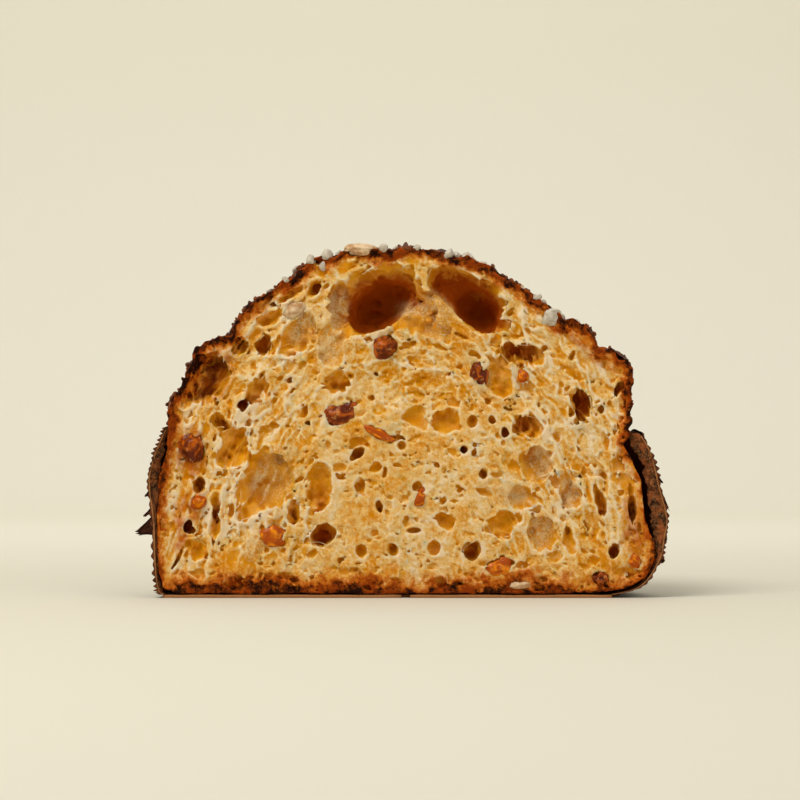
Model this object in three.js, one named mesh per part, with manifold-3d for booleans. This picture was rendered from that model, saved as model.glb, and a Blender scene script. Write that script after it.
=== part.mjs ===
// Half of a low, wide panettone, cut straight through the middle and standing in its ribbed paper mould.
// Millimetres, +Z up. The cut face looks along -Y. The loaf's own upright axis lies on the cut plane, at x = 0.
import * as THREE from "three";
import { ImprovedNoise } from "three/addons/math/ImprovedNoise.js";
import { mergeVertices } from "three/addons/utils/BufferGeometryUtils.js";
import Module from "manifold-3d";

// Driving dimensions
const DEPTH = 110; // from the cut plane to the back of the mould
const CUT_Y = -54.5;
const BASE_PAPER = 1.4;
const LINER = 0.6; // the mould's flat inner paper
const RIBS = 28; // they run round the mould, one above the other
const RIB_DEPTH = 1;
const GAP = 0.35; // between pieces that touch
const LOAF_BASE_Z = BASE_PAPER + GAP;
const CORE_Z = 45; // crags push the crust away from this height on the axis
const GRAIN_COUNT = 30; // pearl sugar over the glaze, apart from what lies along the cut
const GRAIN_RADIUS = [1.7, 2.8];

// The loaf's outline on the cut face, as [distance from the axis, height], from the base's middle to the crown.
// Both sides have the same stations, so that one turns into the other round the back.
const LOAF_LEFT = [
  [0, LOAF_BASE_Z], [58, LOAF_BASE_Z], [98, LOAF_BASE_Z], [104.8, 5.5], [106.6, 18], [107, 34],
  [106.9, 50], [103.4, 62], [101.4, 73], [103.2, 81], [101, 86.4], [95.8, 91.5], [93.2, 101],
  [86.5, 109], [76.5, 113], [73, 120.5], [62.8, 129], [52, 136.3], [43, 143.6], [30, 147], [12, 149.4], [0, 150.3],
];
const LOAF_RIGHT = [
  [0, LOAF_BASE_Z], [52, LOAF_BASE_Z], [87, LOAF_BASE_Z], [99.5, 6.5], [107.3, 18], [105, 27],
  [101.8, 42], [98.5, 55], [92.9, 66.4], [96.3, 72], [97.4, 83], [97.4, 93], [96, 101],
  [89.3, 106], [82.2, 107.5], [79.5, 115], [67.5, 119.5], [55.5, 129], [44, 137], [30, 144.6], [14, 148.8], [0, 150.3],
];
const RIM_STATION = 8; // where the loaf stands clear of the mould
const GLAZE_STATION = 14; // the glazed crown starts here

// The inside of the mould's wall, as [distance from the axis, height], where it was cut at each side, and all round.
// Cut through, the paper springs away from the loaf at both ends.
const WALL_LEFT = [
  [104, BASE_PAPER], [106.3, 4], [107.8, 16], [108.4, 34], [110.2, 49], [108.6, 59], [105.4, 67], [102.9, 73.5],
];
const WALL_RIGHT = [
  [88, BASE_PAPER], [100.6, 5], [108.6, 16], [110.6, 25], [111.8, 34], [108.4, 48], [105.6, 60], [100.8, 70.5],
];
const WALL_ROUND = [
  [100, BASE_PAPER], [105.2, 5], [108.2, 17], [108, 29], [107.4, 40], [106.6, 50], [105.4, 61], [104, 72],
];
const SPRING_LENGTH = 26; // how far round the wall its springing open reaches

// Bubbles that the cut opened: x, height, half width, half height, tilt in degrees and depth.
// A positive tilt leans the bubble's top to the right.
const BUBBLES = {
  cavern_left: [-10.5, 127.5, 20, 15, 6, 34],
  cavern_left_lip: [-21, 126.5, 12, 14, 20, 9],
  cavern_right: [25.5, 128, 20, 10.5, 32, 30],
  cavern_right_floor: [34.5, 118.5, 6.5, 7, 20, 20],
  left_lobe: [-83, 95, 7.6, 11.5, 18, 14],
  left_lobe_foot: [-90, 87, 7.5, 4.2, -30, 8],
  left_crust_cave: [-71.8, 108.8, 3.4, 5.4, 25, 9],
  left_bead: [-61.5, 108.4, 3.6, 4.8, 20, 9],
  veil_left: [-46, 112, 13, 6.5, -50, 5],
  veil_top: [-32, 109, 5, 9, 15, 4],
  under_crust_left: [-59, 120.5, 6, 2.9, -30, 8],
  under_crust_slit: [-49, 131, 6.5, 1.8, -33, 7],
  under_crust_high: [-39.6, 133, 2.6, 3.4, 30, 8],
  left_round: [-70.5, 83, 3.2, 3.4, 0, 9],
  left_low_round: [-80.4, 76.1, 3.4, 3.4, 0, 8],
  left_gold: [-63.6, 89, 3.2, 7.4, 25, 5],
  tall_left: [-74.8, 65, 6.2, 11, 24, 8],
  bowl_left: [-61, 49.7, 10, 15, 24, 8],
  slit_left: [-81.3, 33.5, 2.1, 10.8, 3, 8],
  dark_left: [-89, 49.5, 2.6, 3.1, 0, 9],
  dark_low_left: [-94, 30.5, 3.1, 3.3, 0, 8],
  diamond: [-70, 35.2, 3.2, 3.2, 45, 6],
  slit_inner: [-47.5, 37.5, 2.8, 7, 0, 9],
  gold_low_left: [-90.7, 20.6, 5, 4.4, 20, 5],
  crack_low_left: [-98, 17.2, 1.6, 6.8, 27, 6],
  tall_centre: [-37, 44.3, 6.4, 11.5, 3, 9],
  tall_centre_foot: [-36, 26.5, 6.8, 5.2, -12, 13],
  torn_centre: [-30.5, 91.6, 7, 4.4, -12, 7],
  shade_centre: [-20.6, 62, 3.6, 3, -28, 7],
  bead_centre: [-1.7, 65.8, 2.8, 3, 0, 5],
  bowl_centre_small: [4.6, 77.8, 4.8, 4.4, 0, 4],
  bowl_centre: [17.2, 77, 8, 5.6, 4, 5.5],
  bead_upper_right: [28.2, 75.7, 2, 3, 0, 6],
  bead_right: [25, 63.6, 2.5, 2.8, 0, 6],
  dark_red: [37, 76.3, 2, 2.6, 0, 6],
  dark_red_low: [42.6, 71, 2, 2.3, 0, 6],
  pocket_right: [50, 106, 7.7, 5.2, 12, 11],
  veil_right: [40.5, 94.5, 5, 10, -14, 5],
  cave_right: [53.5, 73.2, 6.6, 5, 6, 11],
  cave_right_low: [56.3, 58.5, 8, 8.6, 4, 8],
  gap_right: [75.3, 83, 5, 8.4, -12, 11],
  crust_crack_right: [91, 89, 1.7, 5.4, 27, 7],
  tall_right: [70.5, 45.2, 4.4, 7, -8, 6],
  bowl_mid_right: [50.5, 43, 6.6, 4.6, 10, 4.5],
  bowl_low_right: [42.6, 31.8, 7.8, 5.2, 2, 7],
  bowl_far_right: [58.4, 29, 4, 7.4, -6, 4.5],
  bead_far_right: [32.7, 53.3, 2.3, 2.5, 0, 5],
  slit_right: [83.4, 42, 2.6, 8.4, -15, 7],
  slit_far_right: [70, 25, 2.2, 6.4, -15, 6],
  crust_gap_right: [97.6, 38.7, 1.9, 8.6, -2, 6],
  hole_corner: [89.4, 19.5, 2.6, 3.2, 20, 6],
  dark_low_right: [28.4, 19.5, 3.9, 4.3, 20, 6],
  bead_low_centre: [12, 21.5, 3, 2.6, 0, 5],
  bead_low_middle: [-5.6, 21.5, 2.4, 2.6, 0, 5],
  bead_low: [-19.4, 20.6, 2.6, 3.2, 0, 5],
  tilted_middle: [16.6, 33.5, 4.6, 3.4, 25, 5],
  slit_middle: [-11.6, 39.6, 2, 3.4, -10, 5],
  bead_middle_left: [-19.8, 48, 2.9, 3, 0, 5],
  bead_middle: [-12.5, 56, 2.8, 2.5, 0, 5],
};

// Raisins, candied peel and almond on the cut face: x, height, half width, half height, tilt in degrees, half depth.
const FRUIT = {
  raisin_top: [-9, 108, 5.5, 4.9, 0, 4],
  raisin_middle: [-29.7, 79.1, 7.1, 5.4, -25, 4],
  raisin_veiled: [31.8, 96.3, 3.4, 4.8, -10, 3],
  raisin_left: [-91.5, 65, 4.8, 6.6, 12, 3.6],
  raisin_corner: [83.6, 8.4, 3.6, 3.2, 0, 3],
  peel_strip: [-11.2, 70.5, 7.5, 2.3, 25, 3],
  peel_centre: [6, 42.8, 3, 4.8, 20, 3],
  peel_low_left: [-57, 27, 5, 4.6, 10, 3.4],
  peel_left: [-89.7, 41.5, 3.3, 2.8, 0, 3],
  peel_base: [40.4, 13, 5.6, 4.2, -10, 3.4],
  peel_right: [50.3, 95.5, 2.3, 2.6, 12, 2.6],
  peel_corner: [98.4, 15.5, 3.4, 2.8, 40, 2.6],
  almond_base: [49.9, 5.4, 5.4, 2.1, 0, 2.6],
  almond_under_crust: [-48, 123.6, 4.6, 3.3, -35, 3],
};
const FRUIT_PROUD = 0.2; // the share of its half depth by which a piece stands out of the cut face

// Almonds on the glaze: the angle round the back from the right, the station up the outline, and the heading in degrees.
const ALMONDS = {
  almond_cut: [172, 19.6, 14],
  almond_left: [146, 17.3, 35],
  almond_back_left: [112, 19.2, -50],
  almond_back: [84, 17.1, 80],
  almond_back_right: [52, 18.7, 20],
  almond_right: [24, 17.4, -35],
};
const ALMOND_HALF = [8.2, 4.8, 2.9]; // half its length, width and thickness

// Pearl sugar along the cut: x, height and radius.
const CUT_GRAINS = [
  [-52, 136.6, 1.9], [-41, 145.3, 2.4], [-34, 147.6, 2.9], [-35.5, 142.8, 2.2], [-9.6, 150.4, 2.6],
  [4.6, 150.6, 1.9], [18.4, 147.8, 2.8], [56.4, 129.4, 2], [63.2, 120.6, 3.9],
];

const wasm = await Module();
wasm.setup();
const perlin = new ImprovedNoise();

// A repeatable draw from 0 to 1.
let drawn = 20241;
function draw() {
  drawn = (drawn * 1664525 + 1013904223) % 4294967296;
  return drawn / 4294967296;
}

function mix(a, b, share) {
  return a + (b - a) * share;
}

function noiseAt(x, y, z, wavelength, seed = 0) {
  return perlin.noise(x / wavelength + seed, y / wavelength + 7.3 * seed, z / wavelength);
}

// Closed geometry to a solid that can be joined and cut, and back.
function toSolid(geometry) {
  const bare = new THREE.BufferGeometry().setAttribute("position", geometry.getAttribute("position").clone());
  if (geometry.index) {
    bare.setIndex(geometry.index.clone());
  }
  const merged = mergeVertices(bare, 1e-4);
  const mesh = new wasm.Mesh({
    numProp: 3,
    vertProperties: new Float32Array(merged.attributes.position.array),
    triVerts: new Uint32Array(merged.index.array),
  });
  return new wasm.Manifold(mesh);
}

function toGeometry(solid) {
  const mesh = solid.getMesh();
  const position = new THREE.BufferAttribute(new Float32Array(mesh.vertProperties), 3);
  const geometry = new THREE.BufferGeometry().setAttribute("position", position);
  geometry.setIndex(new THREE.BufferAttribute(new Uint32Array(mesh.triVerts), 1));
  geometry.computeVertexNormals();
  return geometry;
}

// Of what a cut leaves, the largest piece: loose scraps are dropped.
function largest(solid) {
  return solid.decompose().sort((a, b) => b.volume() - a.volume())[0];
}

function splineOf(points) {
  return new THREE.SplineCurve(points.map(([r, z]) => new THREE.Vector2(r, z)));
}

// A closed surface all round the axis, from an outline that starts and ends on the axis.
// place(angle, row) gives [distance from the axis, height], and columns counts the steps in half a turn.
function fullTurn(columns, rows, place) {
  const bottom = 0;
  const top = 1;
  const round = 2 * columns;
  const vertex = (i, j) => (j === 0 ? bottom : j === rows ? top : 2 + (i % round) * (rows - 1) + (j - 1));
  const positions = [0, CUT_Y, place(0, 0)[1], 0, CUT_Y, place(0, rows)[1]];
  const index = [];
  for (let i = 0; i < round; i++) {
    const onCut = i % columns === 0;
    const angle = (Math.PI * i) / columns;
    for (let j = 1; j < rows; j++) {
      const [r, z] = place(angle, j);
      positions.push(r * Math.cos(angle), CUT_Y + (onCut ? 0 : r * Math.sin(angle)), z);
    }
    for (let j = 0; j < rows; j++) {
      const [a, b, c, d] = [vertex(i, j), vertex(i + 1, j), vertex(i + 1, j + 1), vertex(i, j + 1)];
      if (j > 0) {
        index.push(a, b, c);
      }
      if (j < rows - 1) {
        index.push(a, c, d);
      }
    }
  }
  const geometry = new THREE.BufferGeometry();
  geometry.setAttribute("position", new THREE.Float32BufferAttribute(positions, 3));
  geometry.setIndex(index);
  return geometry;
}

// Where each row of the loaf's grid lies along the outline, in stations, about this far apart.
function loafRows(spacing) {
  const rows = [0];
  for (let k = 1; k < LOAF_LEFT.length; k++) {
    const long = Math.hypot(LOAF_LEFT[k][0] - LOAF_LEFT[k - 1][0], LOAF_LEFT[k][1] - LOAF_LEFT[k - 1][1]);
    const onBase = k <= 2;
    const steps = Math.max(1, Math.round(long / (onBase ? 4 * spacing : spacing)));
    for (let s = 1; s <= steps; s++) {
      rows.push(k - 1 + s / steps);
    }
  }
  return rows;
}

const loafLeft = splineOf(LOAF_LEFT);
const loafRight = splineOf(LOAF_RIGHT);

// The loaf's crust at an angle round from the right and a station up the outline: [distance from the axis, height].
function crustAt(angle, station) {
  const t = station / (LOAF_LEFT.length - 1);
  const left = loafLeft.getPoint(t);
  const right = loafRight.getPoint(t);
  const share = (1 + Math.cos(angle)) / 2;
  const r = mix(left.x, right.x, share);
  const z = mix(left.y, right.y, share);
  const x = r * Math.cos(angle);
  const y = r * Math.sin(angle);
  const out = Math.hypot(r, z - CORE_Z);
  const free = THREE.MathUtils.smoothstep(station, RIM_STATION - 1, RIM_STATION + 1);
  const onAxis = THREE.MathUtils.smoothstep(r, 0, 14);
  const slow = noiseAt(x, y, z, 34, 2) * 2.6 * free;
  const crag = noiseAt(x, y, z, 13, 5) * mix(0.5, 2.1, free);
  const push = (slow + crag) * onAxis;
  const behind = Math.abs(Math.sin(angle)) * onAxis * free;
  const ledge = behind * 5.5 * noiseAt(100 * Math.cos(angle), 100 * Math.sin(angle), 0, 38, 9);
  return [
    Math.max(0, r + (push * r) / out),
    Math.max(LOAF_BASE_Z, z + ledge + (push * (z - CORE_Z)) / out),
  ];
}

function crustPoint(angle, station) {
  const [r, z] = crustAt(angle, station);
  return new THREE.Vector3(r * Math.cos(angle), CUT_Y + r * Math.sin(angle), z);
}

function crustNormal(angle, station) {
  const here = crustPoint(angle, station);
  const round = crustPoint(angle + 0.03, station).sub(here);
  const up = crustPoint(angle, station + 0.1).sub(here);
  return round.cross(up).normalize();
}

function loafBody() {
  const rows = loafRows(7);
  const columns = 32;
  return toSolid(fullTurn(columns, rows.length - 1, (angle, j) => crustAt(angle, rows[j])));
}

// A unit ball made into a lumpy egg: lump is how far its surface wanders, as a share of its size.
function lumpyEgg(geometry, [x, z, halfWidth, halfHeight, tilt, halfDepth], y, lump, seed) {
  const position = geometry.getAttribute("position");
  const point = new THREE.Vector3();
  for (let i = 0; i < position.count; i++) {
    point.fromBufferAttribute(position, i).normalize();
    const wander = 1 + lump * perlin.noise(point.x * 1.7 + seed, point.y * 1.7 + 3.1 * seed, point.z * 1.7);
    point.multiplyScalar(wander);
    position.setXYZ(i, point.x, point.y, point.z);
  }
  geometry.scale(halfWidth, halfDepth, halfHeight);
  geometry.rotateY(THREE.MathUtils.degToRad(tilt));
  geometry.translate(x, y, z);
  return geometry;
}

function bubble(size, seed) {
  const reach = Math.max(size[2], size[3]);
  const around = reach > 12 ? 20 : reach > 7 ? 14 : reach > 4 ? 10 : 8;
  const ball = new THREE.SphereGeometry(1, around, 2 * Math.round(around / 5));
  return toSolid(lumpyEgg(ball, size, CUT_Y, 0.3, seed));
}

function fruit(size, seed, spare) {
  const [x, z, halfWidth, halfHeight, tilt, halfDepth] = size;
  const grown = [x, z, halfWidth + spare, halfHeight + spare, tilt, halfDepth + spare];
  const behind = CUT_Y + halfDepth * (1 - FRUIT_PROUD);
  return lumpyEgg(new THREE.IcosahedronGeometry(1, 1), grown, behind, 0.35, seed);
}

// An almond lying on the crust, its pointed end along the heading, grown by the spare length all round.
function almond([degrees, station, heading], spare) {
  const geometry = new THREE.IcosahedronGeometry(1, 1);
  const position = geometry.getAttribute("position");
  for (let i = 0; i < position.count; i++) {
    const along = position.getX(i);
    const slim = 1 - 0.28 * Math.max(0, along) ** 1.5;
    position.setXYZ(i, along, position.getY(i) * slim, position.getZ(i) * slim);
  }
  geometry.scale(ALMOND_HALF[0] + spare, ALMOND_HALF[1] + spare, ALMOND_HALF[2] + spare);
  const angle = THREE.MathUtils.degToRad(degrees);
  const normal = crustNormal(angle, station);
  const stand = new THREE.Quaternion().setFromUnitVectors(new THREE.Vector3(0, 0, 1), normal);
  geometry.rotateZ(THREE.MathUtils.degToRad(heading));
  geometry.applyQuaternion(stand);
  const at = crustPoint(angle, station).addScaledVector(normal, 0.2 * ALMOND_HALF[2]);
  geometry.translate(at.x, at.y, at.z);
  return geometry;
}

// The station up the outline below which lies this share of the glazed crown's surface.
function crownStation(share) {
  const steps = 60;
  const areas = [0];
  const stationAt = (k) => mix(GLAZE_STATION, LOAF_LEFT.length - 1, k / steps);
  for (let k = 1; k <= steps; k++) {
    const below = crustPoint(Math.PI / 2, stationAt(k - 1));
    const above = crustPoint(Math.PI / 2, stationAt(k));
    areas.push(areas[k - 1] + (above.y - CUT_Y) * above.distanceTo(below));
  }
  return stationAt(areas.findIndex((area) => area >= share * areas[steps]));
}

// One baked-on grain of pearl sugar, turned any way.
function grain(at, radius) {
  const geometry = new THREE.IcosahedronGeometry(radius, 0);
  geometry.scale(1, mix(0.75, 1, draw()), mix(0.65, 0.9, draw()));
  const turn = new THREE.Euler(2 * Math.PI * draw(), 2 * Math.PI * draw(), 2 * Math.PI * draw());
  geometry.applyQuaternion(new THREE.Quaternion().setFromEuler(turn));
  geometry.translate(at.x, at.y, at.z);
  return toSolid(geometry);
}

// Grains along the cut, then grains spread over the glaze by the golden angle, clear of the almonds.
function grains() {
  const almonds = Object.values(ALMONDS).map(([degrees, station]) =>
    crustPoint(THREE.MathUtils.degToRad(degrees), station),
  );
  const made = CUT_GRAINS.map(([x, z, radius]) => grain(new THREE.Vector3(x, CUT_Y + 0.9 * radius, z), radius));
  const goldenShare = 0.6180339887;
  for (let k = 0; made.length < CUT_GRAINS.length + GRAIN_COUNT; k++) {
    const angle = Math.PI * mix(0.04, 0.96, (k * goldenShare) % 1);
    const station = crownStation(mix(0.12, 0.99, draw()));
    const radius = mix(GRAIN_RADIUS[0], GRAIN_RADIUS[1], draw());
    const at = crustPoint(angle, station).addScaledVector(crustNormal(angle, station), 0.3 * radius);
    if (almonds.every((almondAt) => almondAt.distanceTo(at) > ALMOND_HALF[0] + radius + 1)) {
      made.push(grain(at, radius));
    }
  }
  return made;
}

// Everything in front of the cut plane.
function inFront() {
  const size = 400;
  const box = new THREE.BoxGeometry(size, size, size);
  box.translate(0, CUT_Y - size / 2, 0);
  return toSolid(box);
}

function loaf() {
  let solid = loafBody();
  for (const sugar of grains()) {
    solid = solid.add(sugar);
  }
  Object.values(BUBBLES).forEach((size, k) => {
    solid = solid.subtract(bubble(size, 3 + 1.7 * k));
  });
  Object.values(FRUIT).forEach((size, k) => {
    solid = solid.subtract(toSolid(fruit(size, 11 + k, GAP)));
  });
  for (const place of Object.values(ALMONDS)) {
    solid = solid.subtract(toSolid(almond(place, GAP)));
  }
  return toGeometry(largest(solid.subtract(inFront())));
}

const wallLeft = splineOf(WALL_LEFT);
const wallRight = splineOf(WALL_RIGHT);
const wallRound = splineOf(WALL_ROUND);

// The inside of the mould's wall at an angle round from the right, at a share of the way up: [radius, height].
function wallAt(angle, share) {
  const reach = (end) => Math.exp(-(((end * (DEPTH - LINER)) / SPRING_LENGTH) ** 2));
  const point = wallRound.getPoint(share);
  const towards = (curve, weight) => {
    const end = curve.getPoint(share);
    point.x += (end.x - wallRound.getPoint(share).x) * weight;
    point.y += (end.y - wallRound.getPoint(share).y) * weight;
  };
  const fromRight = Math.min(angle, 2 * Math.PI - angle);
  towards(wallRight, reach(fromRight));
  towards(wallLeft, reach(Math.PI - fromRight));
  const wavy = share * 0.7 * Math.sin(5 * angle + 1) * Math.sin(angle);
  return [point.x + wavy * 0.4, point.y + share * wavy];
}

// The mould's section, from the axis under the base, out, up the ribbed outside, over the rim and back down the inside.
function mouldRows() {
  const rows = [() => [0, 0], () => [60, 0], (angle) => [wallAt(angle, 0)[0] - 1, 0]];
  for (let k = 1; k <= 2 * RIBS; k++) {
    const crest = k % 2 === 1;
    rows.push((angle) => {
      const [r, z] = wallAt(angle, k / (2 * RIBS + 1));
      return [r + LINER + (crest ? RIB_DEPTH : 0), z];
    });
  }
  const inner = 7;
  for (let k = inner; k >= 0; k--) {
    rows.push((angle) => wallAt(angle, k / inner));
  }
  rows.push(() => [60, BASE_PAPER], () => [0, BASE_PAPER]);
  return rows;
}

function mould() {
  const rows = mouldRows();
  const columns = 20;
  const whole = fullTurn(columns, rows.length - 1, (angle, j) => rows[j](angle));
  return toGeometry(toSolid(whole).subtract(inFront()));
}

// Materials
const finishes = {
  crumb: { color: 0xe0b878, roughness: 0.85 },
  paper: { color: 0x4a2c1c, roughness: 0.9 },
  raisin: { color: 0x5e2410, roughness: 0.45 },
  peel: { color: 0xc8650f, roughness: 0.4 },
  almond: { color: 0xc9945a, roughness: 0.6 },
};

function named(name, geometry, finish) {
  const material = new THREE.MeshStandardMaterial({ ...finishes[finish], metalness: 0 });
  const mesh = new THREE.Mesh(geometry, material);
  mesh.name = name;
  return mesh;
}

const panettone = new THREE.Group();
panettone.add(named("loaf", loaf(), "crumb"));
panettone.add(named("paper_mould", mould(), "paper"));
Object.entries(FRUIT).forEach(([name, size], k) => {
  panettone.add(named(name, fruit(size, 11 + k, 0), name.split("_")[0]));
});
for (const [name, place] of Object.entries(ALMONDS)) {
  const whole = toSolid(almond(place, 0));
  panettone.add(named(name, toGeometry(whole.subtract(inFront())), "almond"));
}

export default panettone;
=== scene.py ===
"""Half of a low panettone in its ribbed paper mould: the looks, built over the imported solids.

Lengths are in millimetres until a mesh is made. The cut face lies at y = CUT_Y and the bread behind it.
"""

import math

import bpy
import numpy as np
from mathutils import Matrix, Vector


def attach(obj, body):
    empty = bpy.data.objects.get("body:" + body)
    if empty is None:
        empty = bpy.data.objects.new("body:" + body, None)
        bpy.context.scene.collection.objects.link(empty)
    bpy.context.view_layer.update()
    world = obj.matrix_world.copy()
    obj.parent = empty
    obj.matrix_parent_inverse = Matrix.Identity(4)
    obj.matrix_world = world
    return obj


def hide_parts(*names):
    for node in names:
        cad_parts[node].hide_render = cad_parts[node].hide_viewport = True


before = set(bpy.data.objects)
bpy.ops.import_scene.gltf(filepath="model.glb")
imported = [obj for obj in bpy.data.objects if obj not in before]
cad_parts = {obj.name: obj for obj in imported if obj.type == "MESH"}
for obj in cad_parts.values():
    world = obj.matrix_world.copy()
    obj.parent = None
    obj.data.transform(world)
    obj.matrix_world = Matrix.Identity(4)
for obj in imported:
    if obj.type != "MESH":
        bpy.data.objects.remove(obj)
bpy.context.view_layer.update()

MM = 0.001
CUT_Y = -54.5
LINER = 0.6  # how thick the mould's lining is
RIBS = 28
RIB_DEPTH = 1.0
CORE_Z = 45.0  # the crags of the crust stand away from this height on the axis

VOXEL = 0.53
SKIN_DEPTH = 13.0  # behind this only the caverns are open
CAVERN_DEPTH = 35.0
CAVERN_BOX = (-37.0, 50.0, 104.0, 144.0)  # low and high x, low and high z
TABLE_STEP = 0.5  # of the outline's distance table, which reaches out to FARTHEST
FARTHEST = 125.0
OUTSIDE = 9.0  # any distance that is far enough not to count
SLICES = 4  # the bread's mesh is made in this many pieces
LONGEST_STRAND = 13.0
FLAKE_COUNT = 620
SUGAR_COUNT = 90
GOLDEN = 0.6180339887
FRUIT_SUNK = 0.8  # how far the middle of a fruit lies behind the cut, as a share of its half depth

# The loaf's outline at the cut: distance from the axis and height, from the base up to the crown.
CUT_LEFT = [
    (0, 1.8), (98, 1.8), (104.2, 4), (106.3, 10), (106.8, 18), (107, 30), (106.9, 44), (106.4, 51),
    (104.5, 58), (102.6, 64), (101.9, 74), (103.2, 81.3), (101.1, 86.4), (96.3, 90.3), (95.5, 95.9),
    (92.9, 101.5), (89.9, 106.6), (85.1, 110.1), (80, 111.8), (76.1, 113.1), (76.1, 116.1),
    (73.1, 118.7), (72.7, 121.7), (66.2, 126), (62.8, 129.4), (57.6, 132.4), (52, 136.3), (45.6, 141.9),
    (43, 144.5), (40, 146.2), (32.3, 146.6), (26.2, 148.8), (12, 149.6), (0, 150.4),
]
CUT_RIGHT = [
    (0, 1.8), (66, 1.9), (83.4, 2.4), (92, 3.4), (97.6, 5.6), (102.8, 9), (105.8, 13.3), (107.6, 18),
    (106.9, 22.8), (104.9, 27.1), (102.8, 33.5), (101.9, 42.1), (101.1, 50.7), (98.5, 55), (96.8, 60.2),
    (92.9, 66.2), (95.5, 67.9), (96.3, 71.4), (95.5, 74.4), (97.6, 83), (96.8, 87.3), (97.6, 92.9),
    (97.2, 98), (95, 102.3), (91.2, 102.3), (89, 106.6), (82.1, 106.6), (81.3, 112.2), (79.1, 115.2),
    (72.7, 118.3), (67.1, 119.5), (64.1, 123), (59.8, 126.4), (55.5, 129), (51.2, 132.4), (46.9, 135.5),
    (40.4, 138.5), (36.1, 141.9), (31.8, 144), (27.5, 145.8), (16.8, 147.9), (11.2, 149.6),
    (3.9, 150.9), (0, 150.4),
]

# The same outline as matching stations, which turn from the right side to the left one round the back.
LOAF_LEFT = [
    (0, 1.75), (58, 1.75), (98, 1.75), (104.8, 5.5), (106.6, 18), (107, 34), (106.9, 50), (103.4, 62),
    (101.4, 73), (103.2, 81), (101, 86.4), (95.8, 91.5), (93.2, 101), (86.5, 109), (76.5, 113),
    (73, 120.5), (62.8, 129), (52, 136.3), (43, 143.6), (30, 147), (12, 149.4), (0, 150.3),
]
LOAF_RIGHT = [
    (0, 1.75), (52, 1.75), (87, 1.75), (99.5, 6.5), (107.3, 18), (105, 27), (101.8, 42), (98.5, 55),
    (92.9, 66.4), (96.3, 72), (97.4, 83), (97.4, 93), (96, 101), (89.3, 106), (82.2, 107.5),
    (79.5, 115), (67.5, 119.5), (55.5, 129), (44, 137), (30, 144.6), (14, 148.8), (0, 150.3),
]
RIM_STATION = 8  # where the loaf comes out of the mould
GLAZE_STATION = 14  # where the glazed crown begins

# The inside of the mould's wall, left and right at the cut and all the way round behind.
WALL_LEFT = [
    (104, 1.4), (106.3, 4), (107.8, 16), (108.4, 34), (110.2, 49), (108.6, 59), (105.4, 67),
    (102.9, 73.5),
]
WALL_RIGHT = [
    (88, 1.4), (100.6, 5), (108.6, 16), (110.6, 25), (111.8, 34), (108.4, 48), (105.6, 60),
    (100.8, 70.5),
]
WALL_ROUND = [
    (100, 1.4), (105.2, 5), (108.2, 17), (108, 29), (107.4, 40), (106.6, 50), (105.4, 61), (104, 72),
]
SPRING_LENGTH = 26.0  # how far round from the cut the wall leans as it does there

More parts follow.
